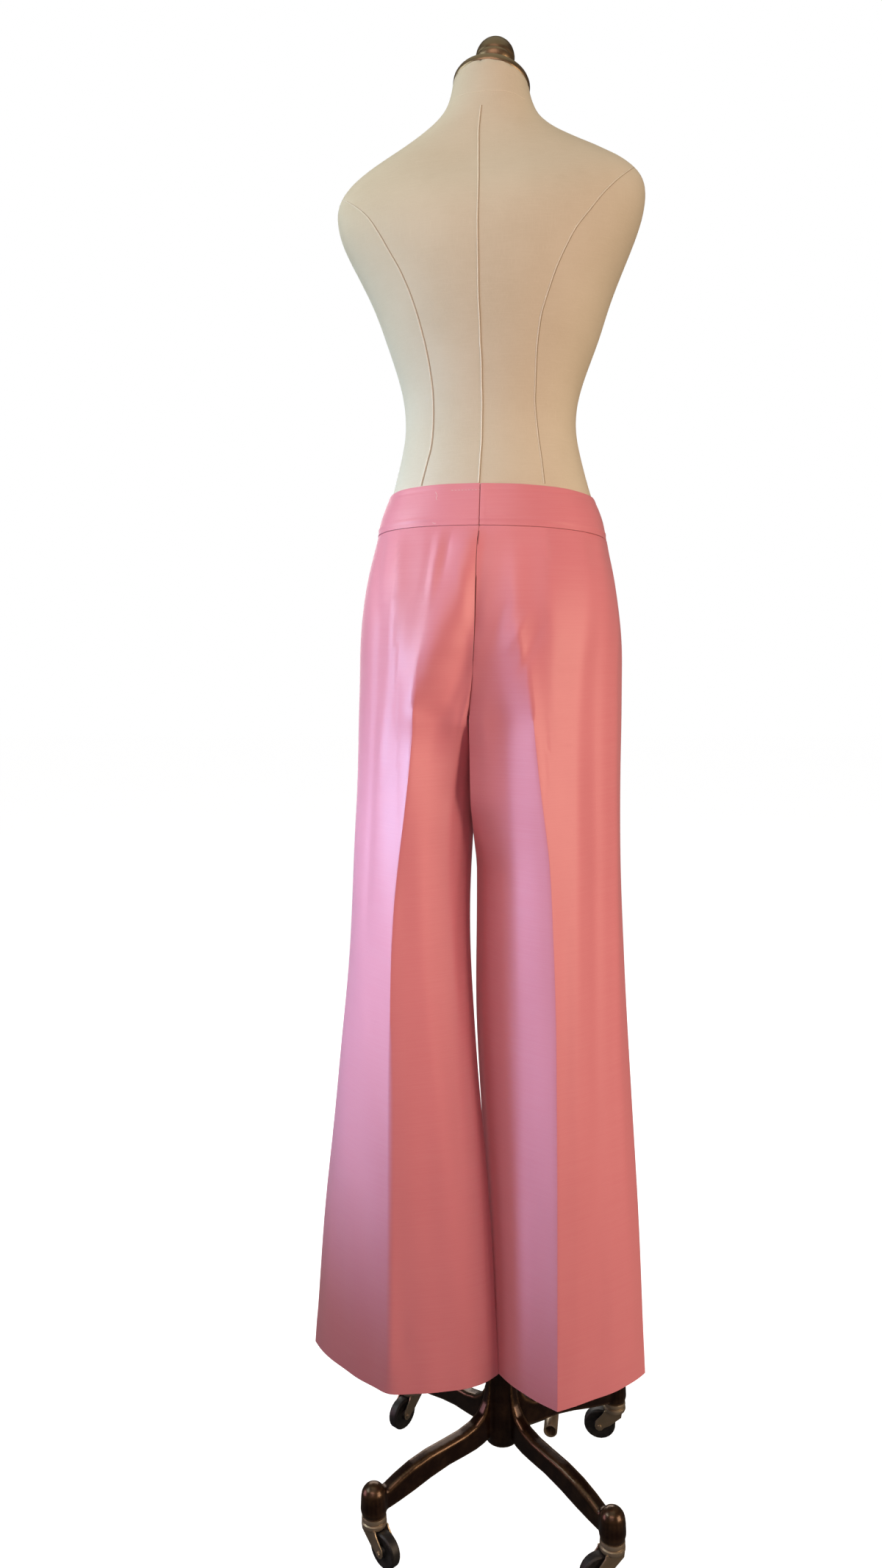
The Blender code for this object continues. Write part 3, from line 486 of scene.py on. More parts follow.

# %% [markdown]
# ## Folds
# Each fold is a short path over the cloth with a half width and a height, both in
# millimetres: above zero it is a ridge and below zero a trough.  On the back, the path's
# points are pixels of the picture, sent along the camera's sight lines onto the cloth.  On
# the hidden front, they are metres across and up.

# %% The folds
# where, half width, height, path
FOLDS = (
    ("back", 9, 1.8, ((545, 722), (541, 790), (530, 900), (521, 1000))),
    ("back", 28, 13.0, ((644, 722), (636, 765), (623, 820), (605, 880), (580, 945))),
    ("back", 10, -4.5, ((657, 745), (650, 800), (640, 860), (624, 925))),
    ("back", 6, 1.8, ((601, 718), (598, 752), (590, 800))),
    ("back", 5, -1.5, ((588, 719), (586, 748), (580, 790))),
    ("back", 4, -0.9, ((616, 718), (612, 742), (608, 770))),
    ("back", 10, -2.0, ((520, 738), (514, 850), (508, 1000), (500, 1200))),
    ("back", 6, 2.2, ((716, 838), (704, 858), (694, 876))),
    ("back", 6, -2.2, ((735, 852), (722, 880), (713, 905))),
    ("back", 7, -1.6, ((690, 820), (680, 845), (674, 872))),
    ("back", 5, 1.4, ((704, 858), (707, 880), (709, 902))),
    ("back", 14, 1.8, ((705, 760), (700, 800), (700, 850))),
    ("back", 12, 2.0, ((788, 725), (790, 900), (786, 1150), (784, 1450), (786, 1750))),
    ("back", 13, -2.2, ((806, 735), (812, 900), (812, 1150), (812, 1450), (818, 1750))),
    ("back", 10, 1.6, ((833, 760), (838, 900), (838, 1150), (842, 1450), (856, 1750))),
    ("back", 12, 1.4, ((742, 730), (745, 820), (752, 960))),
    ("back", 7, 1.6, ((633, 796), (638, 847), (646, 885), (646, 923), (636, 974), (629, 1010),
                      (617, 1064), (610, 1128), (610, 1179), (614, 1281), (620, 1344), (636, 1446),
                      (642, 1480), (655, 1576), (665, 1671), (671, 1799), (676, 1863))),
    ("back", 9, -1.0, ((586, 1180), (586, 1281), (600, 1446), (622, 1640))),
    ("back", 8, -1.0, ((690, 1080), (700, 1300), (706, 1500))),
    ("back", 7, 1.3, ((556, 1812), (562, 1824), (568, 1834))),
    ("back", 6, -1.4, ((548, 1822), (553, 1834), (560, 1842))),
    ("back", 7, -1.6, ((738, 1826), (744, 1838), (750, 1846))),
    ("back", 7, 1.6, ((764, 1822), (771, 1836), (777, 1848))),
    ("back", 7, 1.0, ((628, 1806), (640, 1812), (652, 1814))),
    ("front", 11, 2.4, ((0.055, 1.30), (0.068, 1.15), (0.085, 0.95), (0.098, 0.70))),
    ("front", 9, -1.8, ((0.105, 1.31), (0.118, 1.18), (0.128, 1.00))),
    ("front", 8, 1.8, ((-0.070, 1.30), (-0.080, 1.20), (-0.088, 1.05))),
    ("front", 12, -2.2, ((-0.115, 1.30), (-0.120, 1.05), (-0.130, 0.75), (-0.142, 0.40))),
    ("front", 10, 1.8, ((-0.136, 1.25), (-0.142, 0.95), (-0.155, 0.55))),
    ("front", 6, 1.8, ((0.030, 1.17), (0.045, 1.150), (0.062, 1.138))),
    ("front", 6, -1.8, ((0.022, 1.150), (0.036, 1.130), (0.050, 1.118))),
    ("front", 6, 1.7, ((-0.014, 1.168), (-0.030, 1.148), (-0.046, 1.136))),
    ("front", 6, -1.6, ((-0.010, 1.148), (-0.022, 1.128), (-0.036, 1.116))),
    ("front", 12, 2.0, ((0.170, 1.00), (0.190, 0.70), (0.210, 0.40))),
)


def surface_of(names):
    """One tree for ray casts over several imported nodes."""
    corners, faces = [], []
    for name in names:
        mesh = NODES[name].data
        start = len(corners)
        corners += [v.co.copy() for v in mesh.vertices]
        faces += [[start + i for i in p.vertices] for p in mesh.polygons]
    return BVHTree.FromPolygons(corners, faces)


BACK_LEGS = ("back_leg_left", "back_leg_right")
FRONT_LEGS = ("front_leg_left", "front_leg_right")
CLOTH_AWAY = 1.6         # the camera's distance to the cloth, in metres
back_cloth = surface_of(BACK_LEGS)
front_cloth = surface_of(FRONT_LEGS)


def on_back(px, py, tree=back_cloth, away=CLOTH_AWAY):
    """The point of a surface that a pixel of the picture sees, or else the nearest one."""
    sight = sight_line(px, py)
    hit = tree.ray_cast(CAMERA_SPOT, sight)[0]
    return hit if hit is not None else tree.find_nearest(CAMERA_SPOT + sight * away)[0]


def on_front(x, z):
    """The point of the front cloth at x across from the pole and height z."""
    hit = front_cloth.ray_cast(POLE + Vector((x, -1.0, z)), Vector((0, 1, 0)))[0]
    return hit if hit is not None else POLE + Vector((x, -0.1, z))


fold_paths = []
for where, half, height, path in FOLDS:
    place = on_back if where == "back" else on_front
    spots = np.array([place(*p) for p in path])
    fold_paths.append((where, half / 1000, height / 1000, spots))
print("folds placed:", len(fold_paths))

# %% [markdown]
# ## Moving the cloth along its folds
# A vertex moves straight out from the middle of its leg, by the fold's height times a
# bell that falls off across the fold and fades towards both ends.  Both faces of the wall
# move together, so the cloth keeps its thickness.  A slow unevenness and the step of the
# hem's turn-up are added to the folds.
#
# Under the seat, pressing draws each back panel flat from its crease to the line where the
# two legs touch.  So that stretch is first laid on a plane, and the folds come after it.

# %% Fold and press helpers
LEG_MIDDLES = {"left": ((1.35, 0.075), (0.85, 0.110), (0.234, 0.128)),
               "right": ((1.35, -0.060), (0.85, -0.075), (0.234, -0.088))}
LEG_DEPTH = 0.025
LEGS_PART = 1.10         # below this height each leg has a middle of its own
LEGS_JOIN = 0.10         # and so far above it they have one middle
PAST_END = 0.35          # share of its length by which a fold fades out past its ends
FADE_POWER = 0.8         # under 1, a fold keeps its height for more of its length
SLOW_WAVE, FINE_WAVE = 0.0007, 0.0004      # heights of the cloth's unevenness
HEM_DEPTH, HEM_STEP = 0.048, 0.0004        # the turn-up, and how far it stands out
TOP_HELD = 0.02          # the moves fade out over this much below a panel's top


def along_path(points, path):
    """For each point: its distance to a polyline, and where it lies along it, 0 to 1."""
    lengths = np.linalg.norm(np.diff(path, axis=0), axis=1)
    starts = np.concatenate([[0.0], np.cumsum(lengths)])
    best = np.full(len(points), np.inf)
    where = np.zeros(len(points))
    for i, length in enumerate(lengths):
        step = path[i + 1] - path[i]
        first, last = i == 0, i == len(lengths) - 1
        t = np.clip((points - path[i]) @ step / length ** 2, -PAST_END * first, 1 + PAST_END * last)
        gap = np.linalg.norm(points - path[i] - t[:, None] * step, axis=1)
        closer = gap < best
        best[closer] = gap[closer]
        where[closer] = ((starts[i] + t * length) / starts[-1])[closer]
    return best, where


def read_points(mesh):
    """A mesh's vertices as an array with a row for each."""
    points = np.empty(len(mesh.vertices) * 3)
    mesh.vertices.foreach_get("co", points)
    return points.reshape(-1, 3)


def outward(points, side):
    """Level unit vectors from the middle of a leg, or of the hips above the crotch."""
    heights, middles = zip(*sorted(LEG_MIDDLES[side]))
    joined = np.clip((points[:, 2] - LEGS_PART) / LEGS_JOIN, 0, 1)
    middle = np.interp(points[:, 2], heights, middles) * (1 - joined) + POLE.x
    away = np.stack([points[:, 0] - middle, points[:, 1] - (LEG_DEPTH + POLE.y),
                     np.zeros(len(points))], axis=1)
    return away / np.linalg.norm(away, axis=1, keepdims=True)


def fold_cloth(mesh, side, where):
    """Add the listed folds and a slow unevenness to one leg panel."""
    points = read_points(mesh)
    moves = np.zeros(len(points))
    for place, half, height, path in fold_paths:
        gap, along = along_path(points, path)
        share = np.clip((along + PAST_END) / (1 + 2 * PAST_END), 0, 1)
        fade = np.clip(np.sin(np.pi * share), 0, 1) ** FADE_POWER
        moves += height * fade * np.exp(-(gap / half) ** 2)
    level = points[:, 2]
    across = points[:, 0]
    moves += SLOW_WAVE * np.sin(across * 55 + level * 6.0 + 1.0) * np.sin(level * 7.3 + 2.0)
    moves += FINE_WAVE * np.sin(across * 130 - level * 9.0 + 3.0)
    low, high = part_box(f"{where}_leg_{side}")
    hem = (level - low.z) / HEM_DEPTH
    moves += HEM_STEP / (1 + np.exp((hem - 1.0) * 14.0)) * (1 + 0.5 * np.sin(across * 90))
    rim = np.clip((high.z - level) / TOP_HELD, 0, 1)
    if where == "back":
        normals = np.empty(len(points) * 3)
        mesh.vertex_normals.foreach_get("vector", normals)
        press_inner_plane(points, normals.reshape(-1, 3), side)
    points += outward(points, side) * (moves * rim)[:, None]
    mesh.vertices.foreach_set("co", points.ravel())
    mesh.update()


# For each back panel: height, inner edge x and y, and crease x and y, from the pole.
INNER_PLANES = {
    "left": ((0.900, 0.0322, 0.036, 0.116, 0.129), (0.944, 0.0305, 0.034, 0.111, 0.129),
             (1.024, 0.0250, 0.030, 0.099, 0.130), (1.124, 0.0245, 0.016, 0.087, 0.131),
             (1.139, 0.0220, 0.048, 0.085, 0.131), (1.164, 0.0180, 0.089, 0.082, 0.132),
             (1.214, 0.0130, 0.121, 0.074, 0.132)),
    "right": ((0.900, 0.0268, 0.009, -0.081, 0.130), (0.944, 0.0262, 0.012, -0.079, 0.130),
              (1.024, 0.0250, 0.030, -0.069, 0.131), (1.124, 0.0245, 0.016, -0.059, 0.132),
              (1.139, 0.0220, 0.048, -0.058, 0.131), (1.164, 0.0180, 0.089, -0.055, 0.132),
              (1.214, 0.0130, 0.121, -0.048, 0.132)),
}
CROTCH = 1.124
CLOTH_WALL = 0.0015
# Height, and the depth at which the two planes meet.
TOUCH = ((1.00, 0.094), (1.08, 0.100), (1.14, 0.108), (1.21, 0.120))
PLANE_FOOT = {"left": 1.03, "right": 0.93}     # the left leg rounds away from its neighbour sooner
PLANE_TOP = 1.25
FOOT_BLEND, TOP_BLEND = 0.09, 0.05       # heights over which the plane comes and goes
SEAM_BLEND = 0.012       # and over which the crotch's turned edge becomes the seam's
CREASE_KEPT, CREASE_BLEND = 0.08, 0.70   # shares of the width, from the crease inwards
TURN_IN = 0.012          # share of the width in which the cloth turns in below the crotch


def press_inner_plane(points, normals, side):
    """Lay the stretch from the crease to the line where the two legs touch on one plane."""
    level = points[:, 2]
    heights = [row[0] for row in INNER_PLANES[side]]
    edge_x, edge_y, crest_x, crest_y = (np.interp(level, heights, [row[k] for row in INNER_PLANES[side]])
                                        for k in (1, 2, 3, 4))
    touch_y = np.maximum(edge_y, np.interp(level, *zip(*TOUCH)))
    share = np.clip((points[:, 0] - POLE.x - crest_x) / (edge_x - crest_x), 0, 1)
    slope = (crest_y - touch_y) / np.abs(edge_x - crest_x)
    to_other = 1.0 if side == "right" else -1.0
    outside = normals[:, 1] + to_other * normals[:, 0] > 0
    behind = np.where(outside, 0.0, CLOTH_WALL) * np.sqrt(1 + slope ** 2)
    plane = POLE.y + crest_y + (touch_y - crest_y) * share - behind
    strength = np.clip((level - PLANE_FOOT[side]) / FOOT_BLEND, 0, 1)
    strength *= np.clip((PLANE_TOP - level) / TOP_BLEND, 0, 1)
    ease = np.clip((share - CREASE_KEPT) / CREASE_BLEND, 0, 1)
    seam = np.clip((level - CROTCH) / SEAM_BLEND, 0, 1)
    turn_in = np.clip((1 - share) / TURN_IN, 0, 1) * (1 - seam) + seam
    weight = strength * turn_in * ease * ease * (3 - 2 * ease)
    points[:, 1] += (plane - points[:, 1]) * weight


def add_cloth_uv(mesh, turn_about):
    """A UV map in metres: across the cloth from a vertical line, and up."""
    points = read_points(mesh)
    across = np.hypot(points[:, 0] - turn_about[0], points[:, 1] - turn_about[1])
    across *= np.sign(points[:, 0] - turn_about[0])
    layer = mesh.uv_layers.new(name="cloth")
    corner = np.empty(len(mesh.loops), int)
    mesh.loops.foreach_get("vertex_index", corner)
    pairs = np.stack([across[corner], points[corner, 2]], axis=1)
    layer.data.foreach_set("uv", pairs.ravel())


# %% [markdown]
# ## Leg panels
# Four panels make the two legs.  The pressed crease is the one long edge of a panel that
# bends sharply, so it is found by its angle.  Above the hip it fades into the round of the
# seat, as a pressed crease does.

# %% Make the leg panels
ROLLED_EDGE = 0.0003
RIM_ANGLE = math.radians(62)
PRESS_TOP, PRESS_FULL = 1.26, 1.17     # heights between which the crease sharpens
PRESS_BEND = math.radians(14)          # the crease bends more than this,
RIM_BEND = RIM_ANGLE + 0.5             # and an edge that bends more than this is a rim
SHORTEST = 0.008                       # the crease's edges are longer than this,
UPRIGHT = 0.7                          # and at least this share of their length is rise
CREASE_Y = {"back": 0.13, "front": -0.09}


def bevel_corners(bm, angle, width, segments):
    """Round off every edge that bends more than the angle."""
    sharp = [e for e in bm.edges if len(e.link_faces) == 2 and e.calc_face_angle(0.0) > angle]
    bmesh.ops.bevel(bm, geom=sharp, offset=width, offset_type="OFFSET", segments=segments,
                    profile=0.5, affect="EDGES", material=-1, clamp_overlap=True)


def press_weight(edge):
    """How sharp an edge stays: pressed creases bend sharply and run up the leg."""
    if len(edge.link_faces) != 2:
        return 0.0
    run = edge.verts[0].co - edge.verts[1].co
    if abs(run.z) < UPRIGHT * run.length or run.length < SHORTEST:
        return 0.0
    bend = edge.calc_face_angle(0.0)
    level = max(edge.verts[0].co.z, edge.verts[1].co.z)
    if not PRESS_BEND < bend < RIM_BEND:
        return 0.0
    return min(max((PRESS_TOP - level) / (PRESS_TOP - PRESS_FULL), 0.0), 1.0)


def make_leg_cloth(node):
    """One leg panel: rolled edges, a pressed crease, folds and a UV map."""
    where, _, side = node.split("_")
    bm = merged_copy(node)
    bevel_corners(bm, RIM_ANGLE, ROLLED_EDGE, 2)
    marked = mark_creases(bm, press_weight)
    mesh = subdivided(bm, f"{node}_cloth", 2)
    fold_cloth(mesh, side, where)
    middle = LEG_MIDDLES[side][1][1] + POLE.x
    add_cloth_uv(mesh, (middle, CREASE_Y[where] + POLE.y))
    mesh.shade_smooth()
    piece = link_mesh(f"{node}_cloth", mesh, SUITING, "form")
    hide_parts(node)
    print(node, "pressed edges", marked, "faces", len(mesh.polygons))
    return piece


leg_pieces = {node: make_leg_cloth(node) for node in BACK_LEGS + FRONT_LEGS}

# %% [markdown]
# ## Waistband
# The band is two layers with an interlining, so its top edge is a fat rolled fold.  Its
# outer layer is a little fuller than the inner one: it swells between the seams.  The seam
# allowances inside press through as a faint ridge just above the lower seam.

# %% Make the waistband
BAND_NODES = ("waistband_back_left", "waistband_back_right", "waistband_front")
BAND_EDGE = 0.0007       # the rolled top edge
SWELL, RIDGE, GROOVE, RIPPLE = 0.0007, 0.00065, 0.0003, 0.0005     # heights across the band
RIDGE_AT, RIDGE_HALF = 0.16, 0.035       # shares of the band's height
GROOVE_AT, GROOVE_HALF = 0.86, 0.030
BAND_SLICE = 0.05        # the band's height is read in slices of this angle


def make_band_cloth(node):
    """One band piece: a rolled edge, a swell and what presses through from inside."""
    bm = merged_copy(node)
    bevel_corners(bm, RIM_ANGLE, BAND_EDGE, 2)
    mesh = subdivided(bm, f"{node}_cloth", 3)
    points = read_points(mesh)
    flat = points[:, :2] - np.array([POLE.x, POLE.y])
    angle = np.arctan2(flat[:, 1], flat[:, 0])
    slices = np.round(angle / BAND_SLICE).astype(int)
    share = np.zeros(len(points))
    for key in np.unique(slices):
        inside = slices == key
        low, high = points[inside, 2].min(), points[inside, 2].max()
        share[inside] = (points[inside, 2] - low) / max(high - low, 1e-4)
    swell = SWELL * np.sin(np.pi * np.clip(share, 0, 1)) ** 2
    ridge = RIDGE * np.exp(-((share - RIDGE_AT) / RIDGE_HALF) ** 2) * (1 + 0.4 * np.sin(angle * 9))
    groove = GROOVE * np.exp(-((share - GROOVE_AT) / GROOVE_HALF) ** 2)
    ripple = RIPPLE * np.sin(angle * 13 + 1.0) * np.clip(share, 0, 1) ** 2
    away = flat / np.linalg.norm(flat, axis=1, keepdims=True)
    points[:, :2] += away * (swell + ridge - groove + ripple)[:, None]
    mesh.vertices.foreach_set("co", points.ravel())
    add_cloth_uv(mesh, (POLE.x, POLE.y + 0.1))
    mesh.shade_smooth()
    piece = link_mesh(f"{node}_cloth", mesh, SUITING, "form")
    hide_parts(node)
    print(node, "faces", len(mesh.polygons))
    return piece


band_pieces = {node: make_band_cloth(node) for node in BAND_NODES}

# %% [markdown]
# ## The dress form
# The torso is a smooth hard shell, so its copy needs no folds: one subdivision of the
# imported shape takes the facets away, and the neck's top and the foot keep their corners.
# The seams of the cover are welts: two turned edges that meet and stand a hair proud.

# %% Make the torso
SHELL_CORNER = math.radians(45)        # the rims of the neck and the foot bend more than this
SHELL_HELD = 0.9                       # how sharp the subdivision leaves them
SHELL_CRISP = math.radians(50)         # and their shading stays crisp above this bend


def corner_weight(edge):
    """Keep the rims of the neck and the foot."""
    rim = len(edge.link_faces) == 2 and edge.calc_face_angle(0.0) > SHELL_CORNER
    return SHELL_HELD if rim else 0.0


bm = merged_copy("form_torso")
mark_creases(bm, corner_weight)
torso_mesh = subdivided(bm, "form_torso_linen", 2)
torso_mesh.shade_smooth()
torso_mesh.set_sharp_from_angle(angle=SHELL_CRISP)
torso = link_mesh("form_torso_linen", torso_mesh, LINEN, "form")
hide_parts("form_torso")
torso_tree = BVHTree.FromPolygons([v.co.copy() for v in torso_mesh.vertices],
                                  [list(p.vertices) for p in torso_mesh.polygons])
print("torso faces", len(torso_mesh.polygons))

# %% [markdown]
# ## Seams on the form
# The cover is sewn from panels.  On the back, the seams are paths over the picture's
# pixels, sent along the camera's sight lines onto the torso.  On the hidden front they are
# metres across and up.  A curve with a round bevel makes the raised welt, and its pale colour
# is a painted highlight.  Beside each back welt, a thinner darker cord paints the shade of the seam's ditch.

# %% Lay the seams
TORSO_AWAY = 1.7         # the camera's distance to the torso, in metres
BACK_SEAMS = (
    # centre back
    ((654, 143), (652.4, 158), (651, 173), (650.6, 208), (650.6, 238), (650, 267), (649.4, 296),
     (649.6, 326), (650, 355), (650.6, 399), (651.4, 420), (652.2, 434), (653.3, 467), (654.6, 489),
     (655, 519), (655.7, 545), (655.3, 576), (655, 597), (653.5, 619), (652, 641), (651, 657)),
    # the side back seams
    ((464, 272), (472.4, 275.3), (484, 282), (499, 295), (513.5, 315.6), (528, 340.6), (543, 367),
     (555, 394), (567.4, 430), (574, 454), (579.3, 476), (584.8, 506), (588, 532), (589, 554),
     (588.5, 582), (586, 608), (580.4, 630), (572.4, 661)),
    ((868, 223), (859, 229), (843, 240.6), (822.4, 260), (802, 285), (784, 308), (769.4, 335),
     (757.6, 361), (748, 388), (743.5, 402), (737, 423.5), (732.6, 449.6), (730, 473.5),
     (728.7, 502), (727.8, 528), (727.4, 545), (729.3, 571), (732.2, 597), (736, 623.5), (740, 658)),
)
NECK_SEAM = ((622, 131), (634, 127), (655, 124), (682, 123), (700, 127), (714, 135))
FRONT_SEAMS = (
    ((0.005, 1.404), (0.004, 1.514), (0.003, 1.634), (0.003, 1.754), (0.002, 1.850)),
    ((0.074, 1.404), (0.066, 1.474), (0.072, 1.554), (0.088, 1.634), (0.104, 1.714),
     (0.112, 1.780), (0.114, 1.806)),
    ((-0.066, 1.404), (-0.058, 1.474), (-0.066, 1.554), (-0.084, 1.634), (-0.098, 1.714),
     (-0.104, 1.780), (-0.106, 1.800)),
)


def torso_behind(px, py):
    """The point of the torso that a pixel of the picture sees."""
    return on_back(px, py, torso_tree, TORSO_AWAY)


def torso_ahead(x, z):
    """The point of the torso's front at x across from the pole and height z."""
    hit = torso_tree.ray_cast(POLE + Vector((x, -0.5, z)), Vector((0, 1, 0)))[0]
    return hit if hit is not None else torso_tree.find_nearest(POLE + Vector((x, -0.03, z)))[0]


def smooth_line(points, count):
    """Resample a list of points along a smooth curve through them."""
    points = np.array(points, float)
    steps = np.linalg.norm(np.diff(points, axis=0), axis=1)
    keys = np.concatenate([[0.0], np.cumsum(steps)])
    tangents = np.gradient(points, keys, axis=0)
    out = []
    for where in np.linspace(0, keys[-1], count):
        i = min(int(np.searchsorted(keys, where, side="right")) - 1, len(keys) - 2)
        span = keys[i + 1] - keys[i]
        t = (where - keys[i]) / span
        out.append((1 + 2 * t) * (1 - t) ** 2 * points[i] + t * (1 - t) ** 2 * span * tangents[i]
                   + t * t * (3 - 2 * t) * points[i + 1] + t * t * (t - 1) * span * tangents[i + 1])
    return out


def lay_cords(name, lines, radius, material):
    """Round-bevelled curves along point lists, as one piece that rides on the form."""
    data = bpy.data.curves.new(name, "CURVE")
    data.dimensions = "3D"
    data.bevel_depth = radius
    data.bevel_resolution = 2
    data.use_fill_caps = True
    for line in lines:
        spline = data.splines.new("POLY")
        spline.points.add(len(line) - 1)
        for point, co in zip(spline.points, line):
            point.co = (*co, 1.0)
    mesh = finished_mesh(data, name)
    mesh.shade_smooth()
    link_mesh(name, mesh, material, "form")


WELT = 0.00080           # radius of the raised welt
DITCH_SHADE_RADIUS = 0.00045          # and of the shaded ditch on its right
NECK_WELT = 0.00030      # the neck band's seam is pressed nearly flat
DITCH_ASIDE = 1.5        # pixels from the welt to its ditch
seam_lines = [[torso_behind(*spot) for spot in smooth_line(seam, 110)] for seam in BACK_SEAMS]
seam_lines += [[torso_ahead(*spot) for spot in smooth_line(seam, 90)] for seam in FRONT_SEAMS]
# The welts' pale colour is a painted highlight.
lay_cords("form_seams", seam_lines, WELT, LINEN_WELT_HIGHLIGHT)
neck_line = [torso_behind(*spot) for spot in smooth_line(NECK_SEAM, 60)]
lay_cords("form_neck_seam", [neck_line], NECK_WELT, LINEN_WELT_HIGHLIGHT)
# The ditch cords' dark colour is painted shade along each back seam.
ditch_shade_lines = [[torso_behind(px + DITCH_ASIDE, py) for px, py in smooth_line(seam, 110)] for seam in BACK_SEAMS]
lay_cords("form_seam_ditch_shade", ditch_shade_lines, DITCH_SHADE_RADIUS, LINEN_DITCH_SHADE)
print("seams:", len(seam_lines))

# %% [markdown]
# ## Painted shade in the seams
# Between two sewn panels there is a hair's breadth.  On real cloth, one looks there at the
# turned-in allowance, which lies in shade.  A dark pink cord, sunk under the surface, fills the
# centre back seam, the slit in the band and the seam under the band: its dark colour is painted shade.

# %% Fill the seams
SUNK = 0.00050           # depth under the cloth's face
SEAM_SHADE_RADIUS = 0.00052    # radius
BESIDE = 0.0012          # the face is felt for so far beside the seam
CENTRE_SEAM = ((1.352, 0.0070), (1.304, 0.0090), (1.254, 0.0110), (1.214, 0.0130),
               (1.192, 0.0150), (1.164, 0.0180), (1.139, 0.0220), (1.128, 0.0238))
BAND_SLIT = ((1.3605, 0.0070), (1.4085, 0.0070))
WAIST_Z = 1.348          # height of the waist seam at the pole
WAIST_TILT = (0.03, 0.10)        # its rise per metre towards the wearer's left and backwards
OFF_FORM = 0.0018
view = bpy.context.evaluated_depsgraph_get()
cloth_tree = BVHTree.FromObject(leg_pieces["back_leg_left"], view)
band_tree = BVHTree.FromObject(band_pieces["waistband_back_left"], view)


def sunk_line(tree, keys, count):
    """A line just under the cloth's face, beside the seam that the keys describe."""
    heights, across = zip(*sorted(keys))
    line = []
    for z in np.linspace(max(heights), min(heights), count):
        x = float(np.interp(z, heights, across))
        hit = tree.ray_cast(POLE + Vector((x + BESIDE, 0.5, z)), Vector((0, -1, 0)))[0]
        if hit is not None:
            line.append((POLE.x + x, hit.y - SUNK, z))
    return line


def waist_line(count):
    """The seam under the waistband, all round the form."""
    line = []
    for turn in np.linspace(0, math.tau, count):
        way = Vector((math.cos(turn), math.sin(turn), 0.0))
        z = WAIST_Z
        for _ in range(4):       # the height depends on the place that it leads to
            hit = torso_tree.ray_cast(POLE + Vector((0, 0, z)) + way * 0.5, -way)[0]
            z = WAIST_Z + WAIST_TILT[1] * (hit.y - POLE.y) + WAIST_TILT[0] * (hit.x - POLE.x)
        line.append(hit + way * OFF_FORM)
    return line


sunk = [sunk_line(cloth_tree, CENTRE_SEAM, 60), sunk_line(band_tree, BAND_SLIT, 16), waist_line(180)]
# The sunk cords' dark colour is painted shade in the seam gaps.
lay_cords("seam_shade_cords", sunk, SEAM_SHADE_RADIUS, SEAM_SHADE_CORD)
print("seam threads:", [len(line) for line in sunk])

# %% [markdown]
# ## Stitches on the band
# A short row of understitching shows by the slit, with a loose loop of basting thread to
# its left and a bit of it at the seam.  Each stitch is a cord that lies half in the cloth.

# %% Sew the stitches
STITCH_THREAD = 0.00034                  # radius
# The rest are pixels of the picture.
STITCH_FROM, STITCH_TO = 614, 652
STITCH_STEP, STITCH_LONG = 4.6, 2.7
ROW_Y, ROW_FALL = 667.0, -0.03           # the row's height at its left end, and its fall
LOOP = ((592.6, 669.0), (593.8, 671.5), (594.6, 674.5), (593.6, 677.5), (594.4, 680.0))
THREAD_END = ((588.5, 711.0), (590.8, 712.2), (593.2, 711.8))
stitches = [[on_back(px + part * STITCH_LONG, ROW_Y + ROW_FALL * (px - STITCH_FROM), band_tree)
             for part in (0.0, 0.5, 1.0)]
            for px in np.arange(STITCH_FROM, STITCH_TO, STITCH_STEP)]
stitches += [[on_back(px, py, band_tree) for px, py in path] for path in (smooth_line(LOOP, 14), THREAD_END)]
lay_cords("band_stitches", stitches, STITCH_THREAD, PINK_THREAD)
print("stitches:", len(stitches))

# %% [markdown]
# ## Neck cap and knob
# A lathe turns the cap, and a spin is Blender's lathe: a profile of radius and height goes
# once round the axis.  The cap sits on the neck's sloping top, so the finished shape is
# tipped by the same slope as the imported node.

# %% Make the neck cap
CAP_PROFILE = (
    (0.0, 0.0003), (0.0462, 0.0003), (0.0474, 0.0014), (0.0477, 0.0034), (0.0476, 0.0070),
    (0.0470, 0.0084), (0.0452, 0.0092), (0.0440, 0.0106), (0.0380, 0.0120), (0.0290, 0.0128),
    (0.0190, 0.0134), (0.0150, 0.0142), (0.0132, 0.0156), (0.0122, 0.0180), (0.0120, 0.0225),
    (0.0134, 0.0245), (0.0142, 0.0262), (0.0134, 0.0280), (0.0150, 0.0298), (0.0190, 0.0326),
    (0.0222, 0.0362), (0.0238, 0.0392), (0.0242, 0.0410), (0.0240, 0.0428), (0.0232, 0.0436),
    (0.0233, 0.0444), (0.0242, 0.0456), (0.0243, 0.0482), (0.0240, 0.0520), (0.0231, 0.0557),
    (0.0217, 0.0592), (0.0197, 0.0624), (0.0171, 0.0654), (0.0140, 0.0680), (0.0108, 0.0700),
    (0.0073, 0.0714), (0.0036, 0.0723), (0.0, 0.0725),
)
CAP_SEGMENTS = 96
NECK_MIDDLE = POLE + Vector((0.0003, 0.0, 1.8925))
NECK_SLOPE, NECK_ROLL = math.radians(22), math.radians(4.5)


def lathe(profile, segments):
    """Spin a (radius, height) profile once round the Z axis."""
    bm = bmesh.new()
    verts = [bm.verts.new((r, 0.0, z)) for r, z in profile]
    edges = [bm.edges.new(pair) for pair in zip(verts, verts[1:])]
    bmesh.ops.spin(bm, geom=verts + edges, cent=(0, 0, 0), axis=(0, 0, 1), angle=math.tau,
                   steps=segments, use_merge=True, use_duplicate=False)
    bmesh.ops.remove_doubles(bm, verts=bm.verts, dist=1e-6)
    return bm


